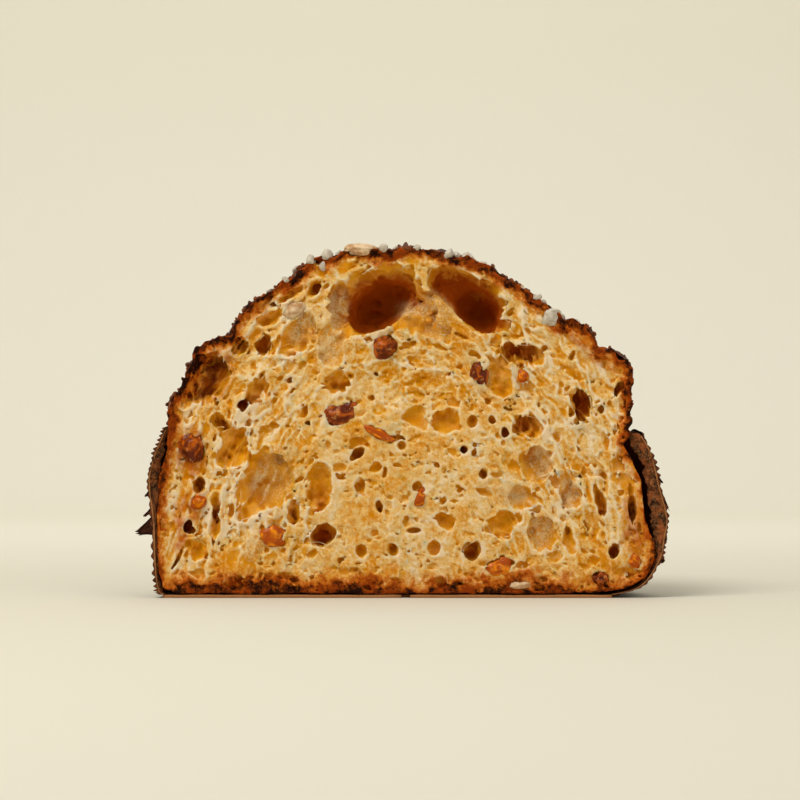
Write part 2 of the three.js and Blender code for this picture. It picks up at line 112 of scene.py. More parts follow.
# Bubbles that the cut opened: x, height, half width, half height, tilt in degrees and depth.
BUBBLES = [
    (-11.5, 125.5, 16.5, 10, -34, 28), (-13.5, 131, 20, 11.5, -14, 10), (-25, 122, 8, 11, 12, 6.5),
    (2.5, 129, 17, 7, 44, 8.5), (5, 118, 13, 4.8, 18, 5), (31, 123.5, 12, 8, 42, 27),
    (23.5, 132, 17, 8.4, 30, 13), (33.5, 129.5, 11, 7.5, 45, 9), (41.5, 117, 3.4, 3.8, 20, 9),
    (-85, 96, 8.5, 13, 16, 9), (-90, 87, 7.5, 4.2, -30, 8), (-71.8, 108.8, 3.4, 5.4, 25, 9),
    (-61.5, 108.4, 3.6, 4.8, 20, 9), (-47.5, 111, 12, 6.5, -50, 5), (-32, 109, 6, 9, 15, 2.6),
    (-59, 120.5, 6, 2.9, -30, 5), (-49, 131, 6.5, 1.8, -33, 5), (-39.6, 133, 2.6, 3.4, 30, 8),
    (-70.5, 83, 3.2, 3.4, 0, 9), (-80.4, 76.1, 3.4, 3.4, 0, 8), (-63.6, 91, 4.8, 10, 25, 5.2),
    (-74.8, 65, 6.8, 11.5, 24, 6), (-61, 49.7, 11, 15, 24, 6.6), (-82.3, 33.5, 2.1, 10.8, 3, 8),
    (-89, 48.5, 2.6, 3.4, 0, 9), (-94, 30.5, 3.1, 3.3, 0, 8), (-70, 36.2, 3.2, 3.2, 45, 6),
    (-48.5, 36.5, 2.6, 8, 4, 9), (-90.7, 20.6, 5, 4.4, 20, 4), (-98, 17.2, 1.4, 6.8, 27, 6),
    (-37, 46.3, 6.8, 11.5, 3, 6.4), (-36, 27, 6.8, 4.6, -12, 10), (-30.5, 91.6, 7, 4.6, -12, 5.5),
    (-20.6, 62, 3.8, 3, -28, 7), (-1.7, 65.8, 2.4, 2.6, 0, 4), (4.6, 77.8, 5.4, 4.4, 0, 2.6),
    (17.2, 77, 8, 5.6, 4, 4.4), (28.2, 75.7, 2, 2.4, 0, 5), (25, 63.6, 2.5, 2.4, 0, 7),
    (37, 76.3, 2, 2.2, 0, 7), (42.6, 71, 1.8, 2.8, 0, 7), (50, 105, 8.4, 5.6, 14, 9),
    (40.5, 94.5, 6.4, 11, -14, 4.8), (53.5, 73.2, 6.6, 5, 6, 10), (56.3, 58.5, 7.4, 9, 4, 5.5),
    (75.3, 83, 4.6, 8.4, -12, 10), (91, 89, 1.7, 4.4, 27, 7), (70.5, 45.2, 5.6, 8, -8, 4.6),
    (50.5, 43, 7.4, 5.4, 10, 4.2), (42.6, 31.8, 8.4, 5.6, 2, 5.4), (58.4, 29, 5.8, 8.6, -6, 4.4),
    (32.7, 53.3, 2.3, 2.5, 0, 5), (83.4, 42, 2.2, 8.4, -15, 6), (70, 25, 2.2, 6.4, -15, 5),
    (97.2, 38.7, 1.9, 8.6, -4, 6), (89.4, 19.5, 2.6, 3.2, 20, 7), (28.4, 19.5, 3.7, 4.1, 20, 8),
    (12, 21.5, 3, 2.6, 0, 4), (-5.6, 21.5, 2.2, 2.6, 0, 4), (-19.4, 20.6, 2.6, 3.2, 0, 4),
    (16.6, 33.5, 4.6, 3.4, 25, 4), (-11.6, 39.6, 1.8, 3.4, -10, 5), (-19.8, 48, 2.9, 3, 0, 4),
    (-12.5, 56, 2.8, 2.5, 0, 4), (24, 112.7, 4.4, 1.2, 25, 5), (71.4, 104, 1.8, 2.8, 20, 7),
    (4.3, 47.6, 2.2, 2, 0, 4), (-48, 7.3, 2.9, 1.9, 0, 6), (15, 6.4, 2.4, 2.6, 0, 4),
    (-9, 54, 1.6, 2.8, 0, 4), (2.5, 29, 3, 1.3, 0, 4),
]

# Where a thin pale skin spans a bubble, and where the bread is browned right through:
# x, height, half width, half height and tilt in degrees.
VEILS = [
    (-58, 52, 9, 14, 24), (-30, 124, 5, 11, 10), (-33, 108, 7, 9, 15), (-44, 116, 6, 9, 40),
    (57, 58, 6, 9, 0), (70, 45, 5, 7, -8), (8, 119, 14, 7, 25), (14, 126, 9, 4, 44), (58, 29, 6, 8, 0),
    (45, 45, 8, 5, 10), (-66, 22, 4, 7, 10), (32, 94, 5, 6, 0),
]
BROWNED = [
    (-86, 98, 12, 16, 18), (-93, 62, 7, 12, 8), (-92, 40, 6, 8, 0), (-66, 125, 9, 5, -40),
    (89, 103, 10, 6, 20), (76, 111, 9, 4, 25), (95, 62, 4, 10, -10), (98, 30, 6, 16, -4),
    (-98, 30, 4, 12, 0),
]

# Fruit and nuts on the cut face: x, height, half width, half height, tilt in degrees and half depth.
FRUIT = {
    "raisin_top": (-9, 108, 5.5, 4.9, 0, 4),
    "raisin_middle": (-29.7, 79.1, 7.1, 5.4, -25, 4),
    "raisin_veiled": (31.8, 96.3, 3.4, 4.8, -10, 3),
    "raisin_left": (-91.5, 65, 4.8, 6.6, 12, 3.6),
    "raisin_corner": (83.6, 8.4, 3.6, 3.2, 0, 3),
    "peel_strip": (-11.2, 70.5, 7.5, 2.3, 25, 3),
    "peel_centre": (6, 42.8, 3, 4.8, 20, 3),
    "peel_low_left": (-57, 27, 5, 4.6, 10, 3.4),
    "peel_left": (-89.7, 41.5, 3.3, 2.8, 0, 3),
    "peel_base": (40.4, 13, 5.6, 4.2, -10, 3.4),
    "peel_right": (50.3, 95.5, 2.3, 2.6, 12, 2.6),
    "peel_corner": (98.4, 15.5, 3.4, 2.8, 40, 2.6),
    "almond_base": (49.9, 5.4, 5.4, 2.1, 0, 2.6),
    "almond_under_crust": (-48, 123.6, 5.2, 3.6, -35, 3),
}


# Noise and curves
def noise(p, wavelength, seed, tables={}):
    """Smooth noise from -1 to 1 at the points p, from a seeded lattice."""
    if seed not in tables:
        tables[seed] = np.random.default_rng(seed).uniform(-1, 1, (32, 32, 32)).astype(np.float32)
    table = tables[seed]
    q = p / wavelength + 64.0
    cell = np.floor(q).astype(np.int32)
    f = (q - cell).astype(np.float32)
    f = f * f * (3 - 2 * f)
    fx, fy, fz = f[..., 0], f[..., 1], f[..., 2]
    x0, y0, z0 = (cell[..., k] & 31 for k in range(3))
    x1, y1, z1 = ((cell[..., k] + 1) & 31 for k in range(3))

    def along_x(y, z):
        return table[x0, y, z] * (1 - fx) + table[x1, y, z] * fx

    low = along_x(y0, z0) * (1 - fy) + along_x(y1, z0) * fy
    high = along_x(y0, z1) * (1 - fy) + along_x(y1, z1) * fy
    return low * (1 - fz) + high * fz


def smooth(value, low, high):
    """A smooth step from 0 at low to 1 at high."""
    t = np.clip((value - low) / (high - low), 0, 1)
    return t * t * (3 - 2 * t)


def spline(points, t):
    """A smooth curve through the points, at shares t of the way from the first to the last."""
    p = np.asarray(points, float)
    s = np.clip(np.asarray(t, float), 0, 1) * (len(p) - 1)
    i = np.clip(np.floor(s).astype(int), 0, len(p) - 2)
    f = (s - i)[..., None]
    before, a, b, after = p[np.maximum(i - 1, 0)], p[i], p[i + 1], p[np.minimum(i + 2, len(p) - 1)]
    slope_a, slope_b = (b - before) / 2, (after - a) / 2
    return (
        (2 * f**3 - 3 * f**2 + 1) * a
        + (f**3 - 2 * f**2 + f) * slope_a
        + (3 * f**2 - 2 * f**3) * b
        + (f**3 - f**2) * slope_b
    )


def grid(rows, columns):
    """Both values at every point of a grid, from its rows' and its columns' values."""
    return np.meshgrid(rows, columns, indexing="ij")


def turned(x, z, angle):
    """Places on the cut along the axes of a shape that is tilted by an angle."""
    cos, sin = math.cos(angle), math.sin(angle)
    return x * cos - z * sin, x * sin + z * cos


def on_circle(radius, angle, height):
    """Points round the mould's axis, from the right side at angle 0 to the left one at pi."""
    return np.stack([radius * np.cos(angle), radius * np.sin(angle), height], -1)


def crag(p, free):
    """How far the crust stands out at points p. Inside the mould, where free is 0, it is smoother."""
    rough = 1.0 * noise(p, 9.0, 11) + 0.9 * noise(p, 4.2, 12) + 1.1 * noise(p, 2.2, 13)
    return rough * (0.25 + 0.75 * free)


# Meshes
def add_object(name, data):
    """A new object in the scene."""
    made = bpy.data.objects.new(name, data)
    bpy.context.scene.collection.objects.link(made)
    return made


def make_piece(name, points, faces, material, shade=True, **values):
    """A mesh in metres from points in mm and an array of faces, with named values for its material."""
    points = np.asarray(points, np.float32) * MM
    faces = np.asarray(faces, np.int32)
    corners = faces.shape[1]
    mesh = bpy.data.meshes.new(name)
    mesh.vertices.add(len(points))
    mesh.vertices.foreach_set("co", points.ravel())
    mesh.loops.add(faces.size)
    mesh.loops.foreach_set("vertex_index", faces.ravel())
    mesh.polygons.add(len(faces))
    mesh.polygons.foreach_set("loop_start", np.arange(0, faces.size, corners, dtype=np.int32))
    mesh.polygons.foreach_set("use_smooth", np.full(len(faces), shade))
    mesh.update(calc_edges=True)
    mesh.validate()
    mesh.materials.append(material)
    for key, value in values.items():
        attribute = mesh.attributes.new(key, "FLOAT", "POINT")
        attribute.data.foreach_set("value", np.full(len(points), value, np.float32))
    piece = add_object(name, mesh)
    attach(piece, "root")
    return piece


def joined(parts):
    """The points and the faces of several parts, each a pair of them, as one pair."""
    starts = np.cumsum([0] + [len(points) for points, _ in parts])
    faces = [part_faces + start for (_, part_faces), start in zip(parts, starts)]
    return np.concatenate([points for points, _ in parts]), np.concatenate(faces)


def grid_faces(rows, columns, flip=False):
    """Faces of a grid of rows by columns points, numbered along each row."""
    j, i = grid(np.arange(rows - 1), np.arange(columns - 1))
    a = (j * columns + i).ravel()
    quads = np.stack([a, a + 1, a + columns + 1, a + columns], 1)
    return quads[:, ::-1] if flip else quads


def ball(subdivisions):
    """A unit icosphere's points and faces."""
    t = (1 + math.sqrt(5)) / 2
    points = [(-1, t, 0), (1, t, 0), (-1, -t, 0), (1, -t, 0), (0, -1, t), (0, 1, t)]
    points += [(0, -1, -t), (0, 1, -t), (t, 0, -1), (t, 0, 1), (-t, 0, -1), (-t, 0, 1)]
    faces = [(0, 11, 5), (0, 5, 1), (0, 1, 7), (0, 7, 10), (0, 10, 11), (1, 5, 9), (5, 11, 4)]
    faces += [(11, 10, 2), (10, 7, 6), (7, 1, 8), (3, 9, 4), (3, 4, 2), (3, 2, 6), (3, 6, 8)]
    faces += [(3, 8, 9), (4, 9, 5), (2, 4, 11), (6, 2, 10), (8, 6, 7), (9, 8, 1)]
    p, f = np.array(points, float), np.array(faces)
    for _ in range(subdivisions):
        edges = np.sort(np.concatenate([f[:, [0, 1]], f[:, [1, 2]], f[:, [2, 0]]]), 1)
        unique, inverse = np.unique(edges, axis=0, return_inverse=True)
        middle = inverse.reshape(3, -1) + len(p)
        p = np.concatenate([p, (p[unique[:, 0]] + p[unique[:, 1]]) / 2])
        a, b, c = f.T
        ab, bc, ca = middle
        split = ((a, ab, ca), (b, bc, ab), (c, ca, bc), (ab, bc, ca))
        f = np.concatenate([np.stack(corners, 1) for corners in split])
    return p / np.linalg.norm(p, axis=1, keepdims=True), f


CUBE = [(a, b, c) for a in (0, 1) for b in (0, 1) for c in (0, 1)]


def surface_net(field, keep, origin, step):
    """The surface where the field is zero, as points and quads that face the positive side."""
    inside = field < 0
    count = np.zeros(tuple(n - 1 for n in field.shape), np.int8)
    nx, ny, nz = count.shape
    for a, b, c in CUBE:
        count += inside[a : a + nx, b : b + ny, c : c + nz]
    cells = np.argwhere((count > 0) & (count < 8) & keep)
    number = np.full(count.shape, -1, np.int32)
    number[tuple(cells.T)] = np.arange(len(cells))
    values = {k: field[tuple((cells + k).T)] for k in CUBE}
    total = np.zeros((len(cells), 3), np.float32)
    hits = np.zeros(len(cells), np.float32)
    for axis in range(3):
        for start in CUBE:
            if start[axis]:
                continue
            end = tuple(1 if k == axis else s for k, s in enumerate(start))
            va, vb = values[start], values[end]
            crossed = (va < 0) != (vb < 0)
            share = np.where(crossed, va / np.where(crossed, va - vb, 1), 0)
            spot = np.tile(np.array(start, np.float32), (len(cells), 1))
            spot[:, axis] = share
            total += np.where(crossed[:, None], spot, 0)
            hits += crossed
    points = (cells + total / hits[:, None]) * step + origin
    quads = []
    for axis in range(3):
        u, v = (axis + 1) % 3, (axis + 2) % 3
        low = [slice(1, n) for n in count.shape]
        low[axis] = slice(0, count.shape[axis])
        after = list(low)
        after[axis] = slice(1, count.shape[axis] + 1)
        at, beyond = inside[tuple(low)], inside[tuple(after)]
        change = np.argwhere(at != beyond)
        change += [0 if k == axis else 1 for k in range(3)]
        outward = inside[tuple(change.T)]
        ring = []
        for du, dv in ((-1, -1), (0, -1), (0, 0), (-1, 0)):
            cell = change.copy()
            cell[:, u] += du
            cell[:, v] += dv
            fits = (cell < count.shape).all(1)
            ring.append(np.where(fits, number[tuple(np.minimum(cell, np.array(count.shape) - 1).T)], -1))
        quad = np.stack(ring, 1)
        quad[~outward] = quad[~outward][:, ::-1]
        quads.append(quad[(quad >= 0).all(1)])
    return points, np.concatenate(quads)


# The crumb
def outline_distance(outline, r, z):
    """Signed distance from the outline on a table of r by z, negative inside it."""
    grid_r, grid_z = grid(r, z)
    best = np.full(grid_r.shape, 1e9)
    crossings = np.zeros(grid_r.shape, int)
    for (r0, z0), (r1, z1) in zip(outline[:-1], outline[1:]):
        along_r, along_z = r1 - r0, z1 - z0
        t = np.clip(((grid_r - r0) * along_r + (grid_z - z0) * along_z) / (along_r**2 + along_z**2), 0, 1)
        best = np.minimum(best, np.hypot(grid_r - r0 - t * along_r, grid_z - z0 - t * along_z))
        if z0 != z1:
            spans = (grid_z >= min(z0, z1)) & (grid_z < max(z0, z1))
            crossings += spans & (grid_r < r0 + (grid_z - z0) * along_r / along_z)
    return np.where(crossings % 2 == 1, -best, best)


def loaf_distance(x, deep, z):
    """Signed distance from the crust over the grid, before its crags."""
    step = TABLE_STEP
    r = np.arange(0, FARTHEST, step)
    left, right = outline_distance(CUT_LEFT, r, z), outline_distance(CUT_RIGHT, r, z)
    grid_x, grid_deep = grid(x, deep)
    radius = np.hypot(grid_x, np.maximum(grid_deep, 0))
    share = (1 + grid_x / np.maximum(radius, 1e-6)) / 2
    at = np.clip(radius / step, 0, len(r) - 1.001)
    i = at.astype(int)
    f = (at - i)[..., None]

    def sample(table):
        return table[i] * (1 - f) + table[i + 1] * f

    share = share[..., None]
    return (sample(right) * share + sample(left) * (1 - share)).astype(np.float32)


def egg_field(shape, axes, egg, warp):
    """The part of the grid round an egg, and roughly how far each point there is from its surface."""
    cx, cd, cz, half_u, half_v, half_w, tilt = egg
    reach = max(half_u, half_v) + 2.0
    spans = []
    for axis, centre, far in zip(axes, (cx, cd, cz), (reach, half_w + 2.0, reach)):
        spans.append(slice(*np.searchsorted(axis, (centre - far, centre + far))))
    if any(s.start >= s.stop for s in spans):
        return None, None
    x, deep, z = (axis[s] - c for axis, s, c in zip(axes, spans, (cx, cd, cz)))
    u, v = turned(x[:, None], z[None, :], tilt)
    flat = (u / half_u) ** 2 + (v / half_v) ** 2
    q = np.sqrt(flat[:, None, :] + ((deep / half_w) ** 2)[None, :, None])
    least = min(half_u, half_v)
    bend = 0 if warp is None else warp[tuple(spans)] * min(1.0, least / 5)
    return tuple(spans), (q - 1) * least + bend


def random_eggs(rng, count, low, high, depths, stretch, flat):
    """Bubbles by chance: long ones stand along the sides and lie flat in the middle."""
    x = rng.uniform(-108, 108, count)
    z = rng.uniform(3, 148, count)
    below = rng.uniform(*depths, count)
    size = low * (high / low) ** rng.power(0.6, count)
    long = 1 + (stretch - 1) * rng.random(count)
    steep = np.clip((np.abs(x) - 20) / 55, 0, 1) * smooth(z, 5, 35)
    lean = -np.sign(x) * np.radians(66) * steep + rng.normal(0, 0.35, count)
    return zip(x, below * size, z, size * np.sqrt(long), size / np.sqrt(long), size * flat, -lean)


def sample_warped(field, shift):
    """The field read at every grid point plus a shift given in voxels."""
    limits = np.array(field.shape) - 1.001
    spots = []
    for k, n in enumerate(field.shape):
        line = np.arange(n, dtype=np.float32).reshape([-1 if k == axis else 1 for axis in range(3)])
        spots.append(np.clip(line + shift[k], 0, limits[k]))
    low = [spot.astype(np.int32) for spot in spots]
    part = [spot - base for spot, base in zip(spots, low)]
    total = 0
    for corner in CUBE:
        weight = 1.0
        for share, high in zip(part, corner):
            weight = weight * (share if high else 1 - share)
        total = total + weight * field[tuple(base + high for base, high in zip(low, corner))]
    return total


# Kinds of small bubble: how many, least and greatest size, depth below the torn face as shares of size,
# stretch, and half depth as a share of size.
SMALL_BUBBLES = (
    (150, 2.4, 5.0, (-0.4, 0.1), 2.6, 0.5),
    (480, 1.4, 2.8, (-0.6, 0.3), 2.4, 0.7),
    (2100, 0.8, 1.5, (-0.6, 0.3), 2.2, 0.8),
    (60, 1.3, 2.2, (0.2, 0.7), 1.8, 1.5),
)


def flow(x, z):
    """How far a place lies across and along the strands, which arch over the middle of the base."""
    height = (z + 15.0) / 1.5
    return np.hypot(x, height), np.arctan2(x, height) * 80.0 / 2.1


def bowls(across, along, size, stretch, seed):
    """Shallow bowls up to 1 deep with sharp ridges between, and each place's way in mm to a ridge."""
    a, b = across / size, along / (size * stretch)
    i, j = np.floor(a).astype(int), np.floor(b).astype(int)
    table = np.random.default_rng(seed).random((64, 64, 3))
    first, second = np.full(a.shape, OUTSIDE), np.full(a.shape, OUTSIDE)
    depth = np.zeros(a.shape)
    for di in (-1, 0, 1):
        for dj in (-1, 0, 1):
            spot = table[(i + di) & 63, (j + dj) & 63]
            d = np.hypot(i + di + spot[..., 0] - a, j + dj + spot[..., 1] - b)
            nearer = d < first
            second = np.where(nearer, first, np.minimum(second, d))
            depth = np.where(nearer, spot[..., 2], depth)
            first = np.where(nearer, d, first)
    return (0.25 + 0.75 * depth**1.6) * (1 - (first / second) ** 2), (second - first) * size


# Bowls on the torn face: size, stretch along the strands, depth, and how pale their ridges are.
BOWLS = (
    (13.0, 1.0, 2.8, 0.9),
    (5.6, 2.8, 1.7, 1.0),
    (6.2, 1.0, 1.3, 0.7),
    (3.2, 1.0, 0.8, 0.4),
    (1.7, 1.0, 0.35, 0.15),
)


def inside_any(shapes, x, z):
    """How far within any of the ellipses each place is, from 0 to 1."""
    best = np.zeros(x.shape)
    for cx, cz, half_u, half_v, tilt in shapes:
        u, v = turned(x - cx, z - cz, math.radians(tilt))
        best = np.maximum(best, smooth(-np.hypot(u / half_u, v / half_v), -1.25, -0.55))
    return best


def torn_face(x, z, veil):
    """How far the torn face lies behind the cut, how near each place is to a strand, and its streaks."""
    flat = np.stack([x, np.zeros_like(x), z], -1)
    across, along = flow(x, z)
    across = across + 1.8 * noise(flat, 9.0, 61) + 0.8 * noise(flat, 3.2, 62)
    along = along + 1.8 * noise(flat, 9.0, 63) + 0.8 * noise(flat, 3.2, 64)
    loose = np.clip(smooth(np.abs(x), 22, 60) + smooth(z, 70, 100), 0.12, 1)
    loose = loose * (0.35 + 0.65 * smooth(z, 8, 30))
    loose = np.clip(loose + 0.35 * noise(flat, 22.0, 65), 0.1, 1)
    sides = smooth(np.abs(x), 30, 58) * smooth(z, 12, 35)
    sunk, strand = 0, 0
    for k, (size, stretch, depth, pale) in enumerate(BOWLS):
        bowl, from_ridge = bowls(across, along, size, stretch, 70 + k)
        share = sides if stretch > 1 else loose if size > 5 else 0.45 + 0.55 * loose
        share = share * (1 - (0.9 if size < 10 else 0.4) * veil)
        sunk = sunk + bowl * depth * share
        strand = np.maximum(strand, pale * share * np.exp(-from_ridge / (0.35 + 0.05 * size)))
        strand = strand - 0.1 * bowl * share
    sunk = sunk + 0.5 * noise(flat, 14.0, 66) + 0.3 * noise(flat, 1.5, 67)
    strand = (strand - strand.mean()) / strand.std() + 1.3 * (1 - loose) - 0.2
    streak = noise(np.stack([across, 0 * across, along / 7], -1), 1.1, 68)
    streak = streak + 0.6 * noise(np.stack([across, 0 * across, along / 3], -1), 2.9, 69)
    return sunk - 0.3, strand, streak * (0.5 + 0.7 * sides)


def bread_round(solid, reach):
    """How much of the cube that reaches this many steps each way round a grid point is bread."""
    share = np.clip(0.5 - solid / VOXEL, 0, 1)
    for axis in range(3):
        pad = [(reach + 1, reach) if k == axis else (0, 0) for k in range(3)]
        total = np.moveaxis(np.cumsum(np.pad(share, pad, mode="edge"), axis), axis, 0)
        span = 2 * reach + 1
        share = np.moveaxis((total[span:] - total[:-span]) / span, 0, axis)
    return share


def joined_to_front(open_air):
    """The air that joins the space before the cut, found by sweeping along each axis in turn."""
    reached = np.zeros_like(open_air)
    reached[:, 0] = open_air[:, 0]
    for _ in range(8):
        for axis in (1, 0, 2):
            near, air = np.moveaxis(reached, axis, 0), np.moveaxis(open_air, axis, 0)
            for k in range(1, len(near)):
                near[k] |= near[k - 1] & air[k]
            for k in range(len(near) - 2, -1, -1):
                near[k] |= near[k + 1] & air[k]
    return reached


def crumb_field():
    """The bread near the cut and its crust as signed fields on a grid, with marks for the material."""
    x = np.arange(-112.5, 113, VOXEL)
    deep = np.arange(-3.0, CAVERN_DEPTH, VOXEL)
    z = np.arange(-0.5, 155, VOXEL)
    axes = (x, deep, z)
    shape = tuple(len(axis) for axis in axes)
    skin = int(np.searchsorted(deep, SKIN_DEPTH + 1))
    layers = slice(0, skin)

    crust = loaf_distance(x, deep, z)
    crust += np.clip(0.4 * (deep - 5), 0, 3)[None, :, None].astype(np.float32)
    near = np.argwhere(np.abs(crust) < 4.5)
    p = np.stack([x[near[:, 0]], deep[near[:, 1]], z[near[:, 2]]], 1)
    crust[tuple(near.T)] -= crag(p, smooth(p[:, 2], 60, 76))

    def grid_noise(wavelength, seed, block):
        g = np.stack(np.meshgrid(*(axis[part] for axis, part in zip(axes, block)), indexing="ij"), -1)
        return noise(g, wavelength, seed)

    all_skin = (slice(None), layers, slice(None))
    caverns = (
        slice(*np.searchsorted(x, CAVERN_BOX[:2])),
        slice(skin, None),
        slice(*np.searchsorted(z, CAVERN_BOX[2:])),
    )
    warp = np.zeros(shape, np.float32)
    for block in (all_skin, caverns):
        warp[block] = 1.5 * grid_noise(6.0, 21, block) + 1.0 * grid_noise(2.6, 22, block)
    grid_x, grid_z = grid(x, z)
    veil = inside_any(VEILS, grid_x, grid_z)
    sunk, strand, streak = torn_face(grid_x, grid_z, veil)
    warp[:, layers] += np.clip(0.3 * strand, -0.4, 0.8)[:, None, :]

    big = np.full(shape, OUTSIDE, np.float32)
    for cx, cz, half_u, half_v, tilt, half_w in BUBBLES:
        bent = warp * (0.5 if half_w > 12 else 1.35)
        blend = 1.2 if min(half_u, half_v) < 6 else 3.0
        where, d = egg_field(shape, axes, (cx, 0.0, cz, half_u, half_v, half_w, math.radians(tilt)), bent)
        near_by = big[where]
        melt = np.maximum(blend - np.abs(near_by - d), 0) ** 2 / (4 * blend)
        big[where] = np.minimum(near_by, d) - melt

    rng = np.random.default_rng(5)
    first, second = (np.full(shape, OUTSIDE, np.float32) for _ in range(2))
    for count, low, high, depths, stretch, flat in SMALL_BUBBLES:
        share = 0.35 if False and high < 2 else 1.0
        for egg in random_eggs(rng, int(count * share), low, high, depths, stretch, flat):
            i = min(int(np.searchsorted(x, egg[0])), len(x) - 1)
            k = min(int(np.searchsorted(z, egg[2])), len(z) - 1)
            egg = (egg[0], egg[1] + float(sunk[i, k])) + egg[2:]
            j = int(np.searchsorted(deep, egg[1]))
            if crust[i, j, k] > -1.0 - 0.6 * low or big[i, j, k] < 0.4 * low or veil[i, k] > 0.35:
                continue
            where, d = egg_field(shape, axes, egg, None)
            if where is None:
                continue
            a, b = first[where], second[where]
            second[where] = np.minimum(b, np.maximum(a, d))
            first[where] = np.minimum(a, d)

    shift = []
    for k in range(3):
        waver = 1.0 * grid_noise(4.0, 35 + k, all_skin) + 0.45 * grid_noise(1.7, 45 + k, all_skin)
        shift.append(waver / VOXEL)
    first, second = (sample_warped(d[:, layers], shift) for d in (first, second))
    wall = 0.35 + 0.4 * grid_noise(3.2, 31, all_skin)
    small = np.maximum(first, (wall - (second - first)) / 2)
    torn = 0.55 + 1.0 * grid_noise(4.5, 32, all_skin)
    small = np.maximum(small, torn - big[:, layers])
    small = np.maximum(small, crust[:, layers] + 0.9)
    air = big.copy()
    air[:, layers] = np.minimum(air[:, layers], small)

    air = np.maximum(air, crust + 1.0 + np.clip(0.6 * (deep - 3), 0, 1.4)[None, :, None])
    plane = int(np.searchsorted(deep, 0.0))
    rim = np.exp(-np.maximum(big[:, plane], 0) / 1.8)
    sunk = sunk * (1 - 0.7 * rim)
    strand = strand + 0.5 * rim * (big[:, plane] > -0.3)
    fade = smooth(-crust[:, plane], 0.0, 5.0)
    solid = np.maximum(crust, -air)
    solid[:, layers] += 0.2 * grid_noise(1.3, 43, all_skin)
    solid = np.maximum(solid, (sunk * fade)[:, None, :] - deep[None, :, None])

    # Room for the fruit and nuts.
    for cx, cz, half_u, half_v, tilt, half_w in FRUIT.values():
        egg = (cx, FRUIT_SUNK * half_w, cz, half_u - 0.3, half_v - 0.3, half_w, math.radians(tilt))
        where, d = egg_field(shape, axes, egg, warp)
        solid[where] = np.maximum(solid[where], -d)
    closed = (solid > 0) & ~joined_to_front(solid > 0)
    solid[closed] = -0.2
    brown = inside_any(BROWNED, grid_x, grid_z)
    marks = {"sunk": sunk, "strand": strand, "brown": brown, "veil": veil, "streak": streak}
    return solid.astype(np.float32), crust, marks, axes


def without_loose_bits(points, quads):
    """The quads that hang together with most of the mesh, without the bits that float before the cut."""
    label = np.arange(len(points))
    while True:
        least = label[quads].min(1)
        lower = label.copy()
        for corner in quads.T:
            np.minimum.at(lower, corner, least)
        lower = lower[lower]
        if (lower == label).all():
            break
        label = lower
    parts, counts = np.unique(label[quads[:, 0]], return_counts=True)
    return quads[label[quads[:, 0]] == parts[counts.argmax()]]


def make_crumb(material):
    """The bread near the cut as one surface, in slices with wavy borders."""
    solid, crust, marks, (x, deep, z) = crumb_field()
    keep = np.zeros(tuple(n - 1 for n in solid.shape), bool)
    keep[:, : int(np.searchsorted(deep, SKIN_DEPTH))] = True
    low_x, high_x = np.searchsorted(x, CAVERN_BOX[:2])
    low_z, high_z = np.searchsorted(z, CAVERN_BOX[2:])
    keep[low_x:high_x, : len(deep) - 2, low_z:high_z] = True
    covered = int(np.searchsorted(deep, 5.0))
    keep[:, covered:] &= crust[:-1, covered:-1, :-1] < -1.5
    origin = np.array([x[0], deep[0], z[0]])
    points, quads = surface_net(solid, keep, origin, VOXEL)
    quads = without_loose_bits(points, quads)

    last = np.array(solid.shape) - 1
    cell = np.minimum(((points - origin) / VOXEL).astype(int), last)
    under = -crust[tuple(cell.T)]
    clean = smooth(-points[:, 2], -76, -62) * smooth(np.abs(points[:, 0]), 80, 95)
    charred = smooth(points[:, 2], 55, 95)
    under = np.minimum(under + 1.4 * clean - 1.1 * charred, 0.5 * (points[:, 2] - 1.5))
    pit = points[:, 1] - marks.pop("sunk")[cell[:, 0], cell[:, 2]]
    # Painted shade: how much bread lies round each point; the material paints the crumb golden where it
    # folds in and paler where it bulges out.
    crease_shade = np.zeros(len(points))
    for reach in (2, 4):
        share = bread_round(solid, reach)
        crease_shade += (share[tuple(cell.T)] + share[tuple(np.minimum(cell + 1, last).T)]) / 2 - 0.5
    world = points.copy()
    world[:, 1] += CUT_Y
    values = {"deep": points[:, 1], "under": under, "pit": pit, "crease_shade": crease_shade}
    for name, mark in marks.items():
        values[name] = mark[cell[:, 0], cell[:, 2]]
    centres = world[quads].mean(1)
    across = centres[:, 0] + 6.0 * noise(centres, 9.0, 36) + 2.0 * noise(centres, 3.0, 37)
    order = np.argsort(across)
    for k, part in enumerate(np.array_split(order, SLICES)):
        used, faces = np.unique(quads[part], return_inverse=True)
        there = {name: value[used] for name, value in values.items()}
        piece = make_piece(f"crumb_{k}", world[used], faces.reshape(-1, 4), material, **there)
        if k == 0:
            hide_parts("loaf")


def in_bubble(x, z, but=None):
    """Whether a place on the cut is open through any bubble, or any but the one that is named."""
    for k, (cx, cz, half_u, half_v, tilt, _) in enumerate(BUBBLES):
        u, v = turned(x - cx, z - cz, math.radians(tilt))
        if k != but and math.hypot(u / half_u, v / half_v) < 1:
            return True
    return False


